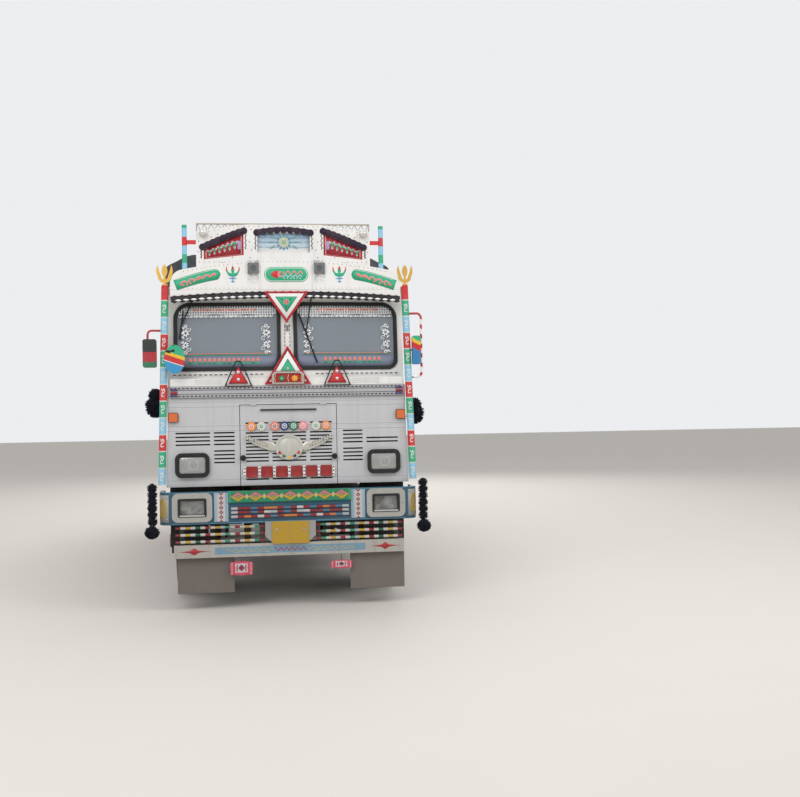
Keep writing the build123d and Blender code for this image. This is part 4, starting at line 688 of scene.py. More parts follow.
# Coloured bands that repeat up each pole, and gold above them where the blades stand
def poleBands():
    bench = Bench("banded poles", Metallic=0.0)
    band = ((bench.z - poleFoot) / poleBand).wrap(3.0)
    top = bench.z.over(3.0185)
    colour = bench.layers("sky", (band.over(1.0), "green"), (band.over(2.0), "brightRed"),
                          (band.wrap(1.0).rim(0.035).over(0.5), "cream"), (top, (0.70, 0.42, 0.08)))
    bench.plug(bench.shader.inputs["Metallic"], top * 0.6)
    return enamel(bench, colour, 0.34, 0.25, 0.6, 2.4)


# The crest board, with its posts banded in blue, green and red by height
def signWhite():
    bench = Bench("crest board")
    band = ((bench.z - 3.205) / 0.085).wrap(4.0)
    posts = bench.layers("sky", (band.over(1.0), "green"), (band.over(2.0), "sky"),
                         (band.over(3.0), "brightRed"), (bench.z.near(3.495, 0.022), "brightRed"))
    away = bench.x * bench.x
    slope = bench.z - (0.85 - bench.x.size()) * 0.151
    lattice = bench.z.over(3.6685) + (slope.over(3.6005) * away.over(0.36 ** 2))
    colour = bench.layers("white", (away.over(0.852 ** 2), posts),
                          (lattice.over(0.5) * away.under(0.87 ** 2), (0.42, 0.38, 0.32)))
    return enamel(bench, colour, 0.42, 0.30, 2.4, 3.6)


# White with dark seams, silver stains under the horn boxes, black along the lower trim
def foreheadPaint():
    bench = Bench("forehead paint")
    z, away = bench.z, bench.x.size()
    seams = z.near(2.975, 0.0016) + away.near(0.241, 0.0016) * z.over(2.975)
    stain = away.near(0.309, 0.055) * z.ease(2.99, 3.14) * bench.noise(60.0, 4.0).ease(0.35, 0.6)
    ahead = bench.y.under(browFace - 0.0002)
    colour = bench.layers("white", (seams * 0.5, (0.16, 0.15, 0.14)), (stain * 0.8, (0.30, 0.31, 0.33)),
                          (ahead * z.under(3.0), "black"), (ahead * z.over(3.1), (0.16, 0.165, 0.175)))
    return enamel(bench, colour, 0.40, 0.28, 2.2, 3.4)


# White board round the panes over the ribbed bright moulding
def screenBoard():
    bench = Bench("screen board")
    low = bench.z.under(mouldTop - 0.001)
    # painted shade: dark lines in the grooves between the moulding's ribs
    groove = ((bench.z - 1.970) / 0.03667).wrap(1.0).rim(0.08) * low
    bench.plug(bench.shader.inputs["Metallic"], low * 0.7)
    patch = bench.x.size().over(0.895) * bench.z.near(2.118, 0.030) * bench.y.under(panelFace - 0.014)
    base = bench.layers("white", (low, (0.50, 0.50, 0.52)), (groove, (0.12, 0.12, 0.12)),
                        (patch * bench.noise(12.0, 4.0).ease(0.3, 0.5), (0.20, 0.21, 0.23)))
    return enamel(bench, base, 0.36, 0.25, 1.4, 2.9)


# Tubes, cream channel with its pale blue band, and flaps, told apart by place
def valancePaint():
    bench = Bench("valance paint")
    band = bench.x.size().under(0.70) * bench.z.near(channelHeight, 0.033)
    flap = bench.y.over(bumperFace + 0.0702)
    # flaps greyish brown, partly dust and partly painted shade; near black above the channel, behind the
    # lower tubes, partly the straps' own black and partly painted shade
    colour = bench.layers("cream", (band, (0.25, 0.48, 0.66)), (flap, (0.235, 0.205, 0.185)),
                          (bench.z.over(0.6115) * (1.0 - flap), (0.015, 0.015, 0.017)))
    return enamel(bench, colour, 0.5, 0.65, 0.1, 1.0)


def tarpFinish():
    bench = Bench("tarpaulin")
    weave = bench.noise(240.0, 2.0)
    creased = bench.noise(5.0, 5.0)
    colour = bench.blend(creased.ease(0.4, 0.7), (0.028, 0.033, 0.042), (0.060, 0.066, 0.078))
    colour = bench.blend(dustOn(bench, 2.2, 3.6, 0.25), colour, "dust")
    return bench.finish(colour, creased * 0.20 + 0.26, weave * 0.3 + creased, 0.5, 0.008)


# Mirrors: striped arms, slanting cloth bands on the right head, a dark left head, a banded dome
def mirrorPaint():
    bench = Bench("mirror arms")
    x, z = bench.x, bench.z
    stripe = ((z + x * 0.6) * 11.0).wrap(1.0).over(0.45)
    colour = bench.blend(stripe * (x.over(1.16) * z.under(2.735)), (0.46, 0.03, 0.04), "white")
    tilt = z + x * 0.5 + bench.noise(9.0, 3.0) * 0.05
    cloth = bench.layers((0.04, 0.20, 0.42), (tilt.over(3.035), (0.55, 0.03, 0.04)),
                         (tilt.over(3.095), "yellow"), (tilt.over(3.135), "green"))
    head = x.over(1.178) * z.over(2.258) * z.under(2.540) * x.under(1.2645)
    left = bench.layers((0.030, 0.032, 0.036), (z.under(2.40), (0.40, 0.03, 0.04)),
                        (z.under(2.31), (0.03, 0.16, 0.09)))
    tilt = z + x * 0.35 + bench.noise(14.0, 3.0) * 0.012
    tuft = bench.noise(24.0, 4.0).over(0.52) * tilt.over(2.010) * x.under(-1.035)
    dome = bench.layers((0.035, 0.28, 0.55), (tilt.over(1.930), "white"),
                        (tilt.over(1.937), (0.55, 0.035, 0.035)), (tilt.over(1.990), "yellow"),
                        (tilt.over(2.022), "green"), (tuft, (0.010, 0.010, 0.014)))
    colour = bench.layers(colour, (head, cloth), (x.under(-1.200) * z.under(2.522), left),
                          (x.over(-1.142) * x.under(-0.9) * z.under(2.470), dome))
    return enamel(bench, colour, 0.36, 0.2, 1.4, 2.6)


def dressNodes():
    dress(enamel("coach white", "white", 0.38, 0.30, 0.3, 2.4), "cab_side_left", "cab_side_right",
          "door_left", "door_right", "cab_roof", "cab_rear_wall")
    dress(pressedPanel(), "front_panel", "hood_flap")
    dress(bumperBlue(), "front_bumper")
    dress(foreheadPaint(), "forehead")
    dress(signWhite(), "sign_board")
    dress(poleBands(), "corner_poles")
    dress(screenBoard(), "screen_frame")
    dress(valancePaint(), "valance")
    dress(wallPanels(), "load_wall_left", "load_wall_right")
    dress(gatePaint(), "tailgate", "rear_leaf_left", "rear_leaf_right", "headboard")
    dress(blackIron("chassis black", (0.014, 0.014, 0.016), 0.35), "chassis_frame",
          "steps_and_mudguards", "rear_bumper", "towing_plate")
    dress(blackIron("tank paint", (0.040, 0.044, 0.052), 0.5), "under_tanks")
    dress(castIron("cast iron"), "front_axle_beam", "knuckle_left", "knuckle_right", "tie_rod",
          "rear_axle", "engine_block")
    dress(castIron("spring steel", (0.06, 0.055, 0.05)), "leaf_springs", "roof_bows")
    dress(wheelPaint(), "front_wheel_left", "front_wheel_right", "rear_wheels_left",
          "rear_wheels_right")
    dress(rubber("seal rubber"), "screen_seals")
    dress(rubber("tyre rubber", (0.020, 0.019, 0.018), 0.9, 0.7), "front_tyre_left",
          "front_tyre_right", "rear_tyres_left", "rear_tyres_right")
    # the screen glass's mostly opaque grey-blue is a painted reflection
    dress(paneGlass("screen glass", (0.235, 0.270, 0.305), 0.78), "cab_glass")
    dress(paneGlass("door glass", (0.10, 0.115, 0.125), 0.55), "door_glass_left",
          "door_glass_right")
    dress(planks(), "load_floor")
    dress(enamel("cab floor paint", (0.018, 0.018, 0.020), 0.6, 0.2, 1.2, 2.0), "cab_floor")
    dress(dashPlastic(), "dashboard")
    dress(enamel("guard red", "postRed", 0.4, 0.6, 0.3, 1.2), "side_guards")
    dress(enamel("triangle red", "red", 0.34, 0.2, 1.8, 2.6), "warning_triangles")
    dress(mirrorPaint(), "side_mirrors")
    dress(bareAluminium("bright trim"), "bumper_trim", "flap_fittings")
    dress(enamel("lamp body", (0.30, 0.31, 0.32), 0.2, 0.2), "front_lamps")
    dress(tarpFinish(), "tarpaulin")
    dress(rubber("seat cover", (0.10, 0.02, 0.02), 0.2), "seat_cushions")
    dress(rubber("yarn black", (0.008, 0.008, 0.011), 0.0, 0.9), "tassels")


dressNodes()
print("stage: packed nodes dressed")


# More flat forms for painted and fixed-on ornaments

# A rectangle with round corners, as a closed outline about its middle
def roundRect(width, height, corner, count=5):
    turn = np.linspace(0, pi / 2, count)
    a, b = [], []
    for i, (sx, sy) in enumerate(((1, 1), (-1, 1), (-1, -1), (1, -1))):
        a.append(sx * (width / 2 - corner) + corner * np.cos(turn + i * pi / 2))
        b.append(sy * (height / 2 - corner) + corner * np.sin(turn + i * pi / 2))
    return np.concatenate(a), np.concatenate(b)


# A frame between two outlines with the same number of points, its front edges eased
def rimFrame(place, outer, inner, middle, high, low=0.0, ease=0.002):
    rows = []
    for share, depth in ((0.0, low), (0.0, high - ease), (0.12, high), (0.88, high),
                         (1.0, high - ease), (1.0, low)):
        a = middle[0] + outer[0] * (1 - share) + inner[0] * share
        b = middle[1] + outer[1] * (1 - share) + inner[1] * share
        rows.append(place(a, b, depth + 0 * a))
    return np.stack(rows)


# Round the bumper's corner: past its straight front, a runs along the quarter circle
def cornerAt(a, b, d):
    straight, radius = 1.090, 0.110
    turn = np.clip((np.abs(a) - straight) / radius, 0.0, pi / 2)
    x = np.minimum(np.abs(a), straight) + (radius + d) * np.sin(turn)
    y = bumperFace + radius - (radius + d) * np.cos(turn)
    return np.stack(np.broadcast_arrays(np.sign(a) * x, y, b), -1)


# On a leaning pole: a is the way round it, b the height
def poleAt(s):
    top, radius = 3.010, 0.034

    def place(a, b, d):
        share = (b - poleFoot) / (top - poleFoot)
        x = s * (1.175 - 0.053 * share)
        y = bumperFace + 0.080 + 0.002 * share
        return np.stack(np.broadcast_arrays(x + (radius + d) * np.sin(a / radius),
                                            y - (radius + d) * np.cos(a / radius), b), -1)
    return place


# Enamel whose colour is each mark's own tint
def signEnamel(name, sheen=0.32, dirt=0.22, low=0.3, high=2.4, metal=0.0, coat=0.0):
    bench = Bench(name, Coat_Roughness=0.1, Specular_IOR_Level=0.22)
    return enamel(bench, bench.tint(), sheen, dirt, low, high, metal, coat)


signPaint = signEnamel("sign enamel")
sleevePlastic = signEnamel("sleeve plastic", 0.24, 0.28, 0.2, 1.4, 0.0, 0.4)
chromeTint = signEnamel("plated trim", 0.22, 0.30, 0.2, 2.4, 0.75)
blackRubber = rubber("moulded rubber", (0.014, 0.014, 0.015), 0.25, 0.45)


# Domed heads at many places at once: each a disc whose rim bends in towards a flat top
def bolts(pile, place, along, up, radius, base, high=0.004, tint="silver"):
    a, b = circle(radius, 12)
    pile.add(mound(place, about(along, a), about(up, b), (0, 1, 1, 0.8, 0.45, 0),
                   (base, base, base + 0.6 * high, base + 0.9 * high, base + high, base + high)), tint)


# Bumper: trim by place, sleeves on its bars, end plates
bumperLook = {
    "lampPlate": (0.900, 0.9585),
    "endPlate": (1.178, 0.955),
    "thinBars": (0.941, 0.905, 0.866),
    "lowerTubes": (0.770, 0.705, 0.640),
    "barTints": (
        "silver red red blue red orange orange red blue red white red blue red orange red blue silver",
        "silver darkRed darkRed blue darkRed white silver darkRed blue darkRed silver white darkRed "
        "darkRed blue darkRed darkRed silver",
        "silver red orange red white red blue red orange orange red blue red white red orange blue "
        "silver"),
    "tubeTints": "darkRed white yellow white darkGreen white red white yellow silver green white "
                 "red white yellow white green red",
}


# 1 at a lozenge's edge: the distances across and up, each as a share of its half width, added
def lozenge(across, upward, wide, tall):
    return across.size() / wide + upward.size() / tall


# Plates cream, strips white with lines and red lozenges, fat bar green with two-tone lozenges,
# and the blank yellow plate on its pale bracket
def bumperTrimPaint():
    bench = Bench("bumper trim paint", Coat_Roughness=0.1)
    x, z, away = bench.x, bench.z, bench.x.size()
    lines = away.lines((0.588, 0.0035), (0.598, 0.0022), (0.684, 0.0035), (0.674, 0.0022))
    step = (z - 0.800).wrap(0.044) - 0.022
    shape = lozenge(away - 0.636, step, 0.021, 0.020)
    onStrip = bench.layers("white", (lines, "sky"), (shape.under(1.0) - shape.under(0.35), "red"))
    pitch, half = 0.160, 0.080
    rise = z - 1.052
    shape = lozenge((x + half).wrap(pitch) - half, rise, 0.072, 0.043)
    dots = lozenge(x.wrap(pitch) - half, rise, 0.020, 0.026)
    twoTone = bench.blend(rise.over(0.0), "yellow", "pink")
    onBar = bench.layers("barGreen", (shape.under(1.12), "darkGreen"), (shape.under(1.0), twoTone),
                         (shape.under(0.42), "barGreen"), (shape.under(0.24), twoTone),
                         (dots.under(1.0) * away.under(0.54), "paleYellow"),
                         (away.over(0.545), (0.05, 0.45, 0.25)))
    plate = away.under(0.1726) * z.under(0.8125) * bench.y.under(bumperFace - 0.0114)
    colour = bench.layers((0.50, 0.50, 0.49), (away.over(0.71), (0.60, 0.585, 0.545)),
                          (away.near(0.636, 0.066), onStrip), (away.under(0.571) * z.over(0.985), onBar),
                          (plate, (0.72, 0.43, 0.012)))
    return enamel(bench, colour, 0.30, 0.30, 0.4, 1.5, 0.0, 0.2)


# A bar's sleeves: the span in equal steps, each a short tube of its own colour
def sleeves(pile, start, stop, y, height, radius, names):
    names = names.split()
    step = (stop - start) / len(names)
    for i, name in enumerate(names):
        x = start + step * (i + np.array([0.01, 0.99]))
        path = np.stack([x, 0 * x + y, 0 * x + height], -1)
        fat = radius * (1.12 if name in ("white", "silver") else 1.0)
        pile.add(tube(path, fat, 12), name)


def makeBumper():
    dress(bumperTrimPaint(), "bumper_trim")
    pile = Pile()
    for height, names in zip(bumperLook["thinBars"], bumperLook["barTints"]):
        sleeves(pile, -0.546, 0.546, bumperFace - 0.012, height, 0.0122, names)
    for height in bumperLook["lowerTubes"]:
        for _, s in sideWays:
            sleeves(pile, s * 1.056, s * 0.241, bumperFace + 0.030, height, 0.0125,
                    bumperLook["tubeTints"])
    pile.make("bar_sleeves", sleevePlastic, smooth=40)
    marks, plated = Pile(), Pile()
    (plateX, plateZ), (endX, endZ) = bumperLook["lampPlate"], bumperLook["endPlate"]
    turn = np.linspace(0, 2 * pi, 25)
    for _, s in sideWays:
        marks.add(ribbon(cornerAt, s * np.linspace(1.112, 1.232, 9), endZ, 0.250, 0.0030, 0.0004),
                  (0.55, 0.54, 0.50))
        bolts(plated, cornerAt, s * np.array([1.128, 1.128, 1.215]), [1.058, 0.858, 0.858],
              0.009, 0.003)
        for wide, tall in ((0.036, 0.088), (0.021, 0.060)):
            marks.add(ribbon(cornerAt, s * (endX + wide * np.cos(turn)), endZ + tall * np.sin(turn),
                             0.011, 0.0046, 0.0032), "yellow")
        swirl = 0.030 * np.sin(3 * turn)
        marks.add(ribbon(cornerAt, s * (endX + swirl), endZ + 0.075 * np.cos(turn / 2),
                         0.009, 0.0052, 0.0032), "yellow")
        # screws round each lamp plate
        at = np.array([(0.0, 0.118), (0.0, -0.118), (0.160, 0.0), (-0.160, 0.0)])
        bolts(plated, frontAt(bumperFace - 0.014), s * plateX + at[:, 0], plateZ + at[:, 1], 0.007, 0.0)
    bolts(plated, frontAt(bumperFace - 0.012), [-0.128, 0.128], 0.735, 0.010, 0.0)
    # seams of sky blue round the bumper's face
    for height in (1.094, 0.812):
        marks.add(ribbon(frontAt(bumperFace), np.linspace(-1.08, 1.08, 3), height, 0.009, 0.0012,
                         0.0002), (0.16, 0.42, 0.58))
    channel = frontAt(bumperFace + 0.010)
    share = np.linspace(0, 1, 13)
    for _, s in sideWays:
        for x in (0.582, 0.694):
            marks.add(ribbon(frontAt(bumperFace - 0.010), s * x, np.linspace(0.832, 1.084, 3), 0.004,
                             0.0012, 0.0002), "sky")
        # darts and waves on the low channel
        for reach, tall, high in ((0.150, 0.016, 0.0014), (0.075, 0.034, 0.0022)):
            half = tall * (1 - np.abs(2 * share - 1)) ** 1.6
            a = s * 0.888 + reach * (2 * share - 1)
            marks.add(slab(channel, np.concatenate([a, a[-2:0:-1]]),
                           channelHeight + np.concatenate([half, -half[-2:0:-1]]), high, 0.0002),
                      "brightRed")
        a = s * np.linspace(0.16, 0.60, 60)
        marks.add(ribbon(channel, a, channelHeight + 0.012 * np.sin(a * 95), 0.007, 0.0014, 0.0003),
                  "paleYellow")
        a = s * np.linspace(0.20, 0.56, 40)
        marks.add(ribbon(channel, a, channelHeight - 0.017 + 0.004 * np.cos(a * 70), 0.004, 0.0014,
                         0.0003), "white")
    a = np.linspace(-0.15, 0.15, 60)
    marks.add(ribbon(channel, a, channelHeight + 0.014 * np.sin(a * 120), 0.008, 0.0016, 0.0003),
              (0.60, 0.05, 0.12))
    marks.make("bumper_marks", signPaint)
    plated.make("bumper_screws", chromeTint, smooth=35)


# Lamps: by place, glass lenses with flutes and painted reflections, rubber frames, orange markers and
# pale domes
def lampPaint():
    bench = Bench("lamp glass", Coat_Weight=0.9, Coat_Roughness=0.04)
    z, away = bench.z, bench.x.size()
    flutes = (bench.x * 420.0).calc("SINE") * 0.5
    blocks = bench.cells(46.0, bench.stretched((1.0, 0.2, 1.6)))
    # painted reflections: bright patches in the lenses
    bright = bench.noise(9.0, 3.0, bench.stretched((1.0, 0.0, 1.3))).ease(0.35, 0.62)
    # outside the lens of each head lamp its rubber frame shows
    inLens = away.near(headLamp[0], 0.120) * z.near(headLamp[1], 0.0765)
    frameArea = z.near(headLamp[1], 0.115) * (1.0 - inLens)
    marker = z.near(1.792, 0.05)
    colour = bench.layers((0.10, 0.105, 0.10), (bright, (0.34, 0.35, 0.34)),
                          (blocks * 0.7, (0.17, 0.175, 0.17)), (frameArea, (0.016, 0.016, 0.017)),
                          (marker, (0.62, 0.13, 0.018)), (z.over(3.4), (0.55, 0.54, 0.51)))
    return bench.finish(colour, frameArea * 0.38 + 0.16, flutes + blocks * 0.6, 0.35, 0.002,
                        Metallic=(1.0 - frameArea) * (1.0 - marker) * 0.30)


def makeLamps():
    dress(lampPaint(), "front_lamps")
    pile, lips = Pile(), Pile()
    # rubber frames: middle across and up, face, outer and inner outline, high, low, ease
    frames = (
        ((0.9, 0.958), bumperFace - 0.0135, (0.262, 0.172, 0.016), (0.218, 0.128, 0.012), 0.006,
         -0.020, 0.003),
        (headLamp, panelFace - 0.020, (0.316, 0.229, 0.058), (0.246, 0.159, 0.030), 0.008, -0.004,
         0.006),
        ((1.065, 1.792), panelFace, (0.092, 0.090, 0.010), (0.078, 0.076, 0.008), 0.014, 0.0, 0.003))
    for _, s in sideWays:
        for (x, z), face, outer, inner, high, low, ease in frames:
            pile.add(rimFrame(frontAt(face), roundRect(*outer), roundRect(*inner), (s * x, z), high,
                              low, ease))
        lips.add(boxes(frontAt(bumperFace - 0.0150), s * 0.9, 0.886, 0.228, 0.014, 0.006), "white")
        # the head lamp's bulging lens and a round reflector behind its flutes
        x, z = s * headLamp[0], headLamp[1]
        lips.add(mound(frontAt(panelFace - 0.010), *moved(x, z, roundRect(0.240, 0.153, 0.028)),
                       (0, 1, 1, 0.93, 0.7, 0.4, 0), (0.0, 0.0, 0.002, 0.006, 0.010, 0.012, 0.0125)),
                 (0.33, 0.34, 0.33))
        lips.add(rimFrame(frontAt(panelFace - 0.0195), circle(0.050, 20), circle(0.040, 20),
                          (x + 0.01, z), 0.0046, 0.0, 0.001), (0.46, 0.47, 0.45))
    for _, s in sideWays:
        lips.add(mound(frontAt(signFace - 0.030), *moved(s * 0.780, 3.580, circle(0.040, 24)),
                       (0, 1, 1, 0.85, 0.5, 0), (0.0, 0.0, 0.012, 0.022, 0.032, 0.036)),
                 (0.62, 0.60, 0.55))
    pile.make("lamp_frames", blackRubber, smooth=40)
    lips.make("lamp_lenses", signEnamel("lens tint", 0.12, 0.15, 0.4, 2.0, 0.2, 0.8), smooth=40)


# Hood flap: rosettes, tiles, catches and the winged medallion
flapLook = {
    "badges": ((-0.347, "orange", "salmon"), (-0.255, "cream", "green"), (-0.130, "salmon", "red"),
               (-0.040, "navy", "blue"), (0.047, "darkGreen", "green"), (0.135, "pink", "salmon"),
               (0.256, "cream", "green"), (0.351, "orange", "salmon")),
    "badgeHeight": 1.697,
    "badgeRadius": 0.0425,
    "firstTile": -0.347,
    "tilePitch": 0.139,
    "tileHeight": 1.270,
    "medallion": (0.002, 1.495),
    "feather": 0.45,
    "wing": ((0.105, 1.500), (0.150, 1.462), (0.250, 1.492), (0.345, 1.540), (0.398, 1.606),
             (0.352, 1.588), (0.250, 1.560), (0.160, 1.548)),
}


def makeFlap():
    place = frontAt(panelFace)
    pile, plated, dark = Pile(), Pile(), Pile()
    height, radius = flapLook["badgeHeight"], flapLook["badgeRadius"]
    for x, main, accent in flapLook["badges"]:
        pile.add(mound(place, *moved(x, height, circle(radius, 28)),
                       (0, 1, 1, 0.93, 0.80, 0.76, 0.74, 0),
                       (0.0005, 0.0005, 0.007, 0.010, 0.010, 0.008, 0.007, 0.007)), main)
        pile.add(discs(place, *moved(x, height, circle(0.0215, 10)), 0.0058, 0.0115, 0.006, 8), "white")
        pile.add(mound(place, *moved(x, height, circle(0.0155, 16)), (0, 1, 1, 0.7, 0),
                       (0.006, 0.006, 0.010, 0.014, 0.0155)), accent)
        pile.add(leaf(place, x - 0.009, height, 0.018, 0.012, 0.0, 0.0165, 0.014, 7), "white")
    first, pitch, tileHeight = (flapLook[key] for key in ("firstTile", "tilePitch", "tileHeight"))
    for i in range(6):
        pile.add(mound(place, *moved(first + pitch * i, tileHeight, roundRect(0.104, 0.104, 0.004, 3)),
                       (0, 1, 1, 0.95, 0.90, 0.86, 0),
                       (0.0005, 0.0005, 0.005, 0.008, 0.008, 0.0065, 0.0065)), "tileRed")
    links = first + pitch * (np.arange(7) - 0.5)
    plated.add(boxes(place, links, tileHeight, 0.020, 0.100, 0.004, 0.0005))
    for up in (1.304, 1.270, 1.236):
        bolts(dark, place, links, up, 0.0072, 0.004, 0.003, (0.02, 0.02, 0.02))
    bolts(plated, place, [-0.440, 0.440, -0.440, 0.440], [1.290, 1.290, 1.236, 1.236], 0.006, 0.0)
    for _, s in sideWays:
        dark.add(mound(place, *moved(s * 0.428, 1.404, circle(0.027, 24)),
                       (0, 1, 1, 0.9, 0.55, 0.45, 0),
                       (0.0005, 0.0005, 0.020, 0.027, 0.029, 0.024, 0.024)))
    dark.add(ribbon(place, np.linspace(-0.264, 0.264, 3), 1.850, 0.015, 0.005, 0.0003))
    # the medallion: a ribbed dish with stones, and wings of overlapping feathers
    midX, midZ = flapLook["medallion"]
    turn = circle(1.0, 40)
    plated.add(mound(place, midX + 0.133 * turn[0], midZ + 0.119 * turn[1],
                     (0, 1, 1, 0.95, 0.88, 0.84, 0.70, 0.66, 0.3, 0),
                     (0.001, 0.001, 0.008, 0.013, 0.013, 0.009, 0.008, 0.011, 0.014, 0.0145)), "pearl")
    ray = np.arange(24) * 2 * pi / 24
    plated.add(leaf(place, midX + 0.055 * np.cos(ray), midZ + 0.050 * np.sin(ray),
                    0.046, 0.010, ray, 0.0145, 0.009, 7), (0.62, 0.61, 0.56))
    plated.add(ribbon(place, midX, np.linspace(1.440, 1.560, 5), 0.008, 0.018, 0.012),
               (0.70, 0.68, 0.62))
    for i, name in enumerate(("red", "darkGreen", "yellow", "black", "brightRed")):
        angle = radians(-148 + 29 * i)
        x, z = midX + 0.105 * cos(angle), midZ + 0.093 * sin(angle)
        a, b = roundRect(0.030, 0.024, 0.006, 4)
        spin = angle + pi / 2
        pile.add(mound(place, x + a * cos(spin) - b * sin(spin), z + a * sin(spin) + b * cos(spin),
                       (0, 1, 1, 0.8, 0.6, 0), (0.008, 0.008, 0.013, 0.0165, 0.017, 0.017)), name)
    outline = smoothPath(flapLook["wing"] + flapLook["wing"][:1], 49)[:-1]
    lean = flapLook["feather"]
    for _, s in sideWays:
        plated.add(mound(place, s * outline[:, 0] + midX, outline[:, 1], (0, 1, 1, 0.94, 0.7, 0),
                         (0.0015, 0.0015, 0.006, 0.010, 0.013, 0.014)), "pearl")
        t = np.linspace(0.05, 0.95, 9)
        for lift in (0.0, 0.026):
            plated.add(leaf(place, s * (0.150 + 0.225 * t) + midX, 1.492 + lift + 0.082 * t ** 1.3,
                            0.052, 0.015, lean if s > 0 else pi - lean, 0.0165, 0.011, 7),
                       (0.64, 0.62, 0.57))
        bolts(plated, place, s * 0.206, 1.522, 0.016, 0.012, 0.008, (0.50, 0.45, 0.36))
        bolts(pile, place, s * 0.325, 1.566, 0.011, 0.012, 0.006, (0.20, 0.24, 0.30))
    ornaments = pile.make("flap_rosettes", signEnamel("moulded plastic", 0.2, 0.2, 0.9, 2.2, 0, 0.5),
                          "hood_flap_body", 35)
    plated.make("flap_medallion", signEnamel("worn plating", 0.30, 0.30, 0.9, 2.2, 0.35),
                "hood_flap_body", 35)
    dark.make("flap_rubbers", blackRubber, "hood_flap_body", 35)
    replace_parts(ornaments, "flap_fittings")


makeBumper()
makeLamps()
makeFlap()
print("stage: bumper, lamps and flap made")


# Moulding, sill and windscreen
paneLook = {
    "inner": 0.096,
    "outer": 1.028,
    "low": 2.256,
    "high": 2.834,
    "topCorner": 0.116,
    "corner": 0.061,
    "bandTop": 2.362,
}


# Where the clear glass ends above and below at a distance a from the middle
def paneReach(a):
    low, high = paneLook["low"] + 0 * a, paneLook["high"] + 0 * a
    for edge, corner, way in ((paneLook["inner"], paneLook["corner"], 1),
                              (paneLook["outer"], paneLook["corner"], -1)):
        inside = np.clip(corner - way * (a - edge), 0.0, corner)
        drop = corner - np.sqrt(np.maximum(corner ** 2 - inside ** 2, 0.0))
        low = low + drop
        if way > 0:
            high = high - drop
    corner = paneLook["topCorner"]
    inside = np.clip(corner + (a - paneLook["outer"]), 0.0, corner)
    high = high - (corner - np.sqrt(np.maximum(corner ** 2 - inside ** 2, 0.0)))
    return low, high


# Flat film between two curves of height, in thin upright steps
def film(place, along, low, high):
    middle, tall = (low + high) / 2, np.maximum(high - low, 0.001)
    grid = [place(along, middle + way * tall / 2, d + 0 * along)
            for way, d in ((-1, 0.0002), (1, 0.0002), (1, 0.0009), (-1, 0.0009))]
    return closeEnds(np.stack(grid, -2))


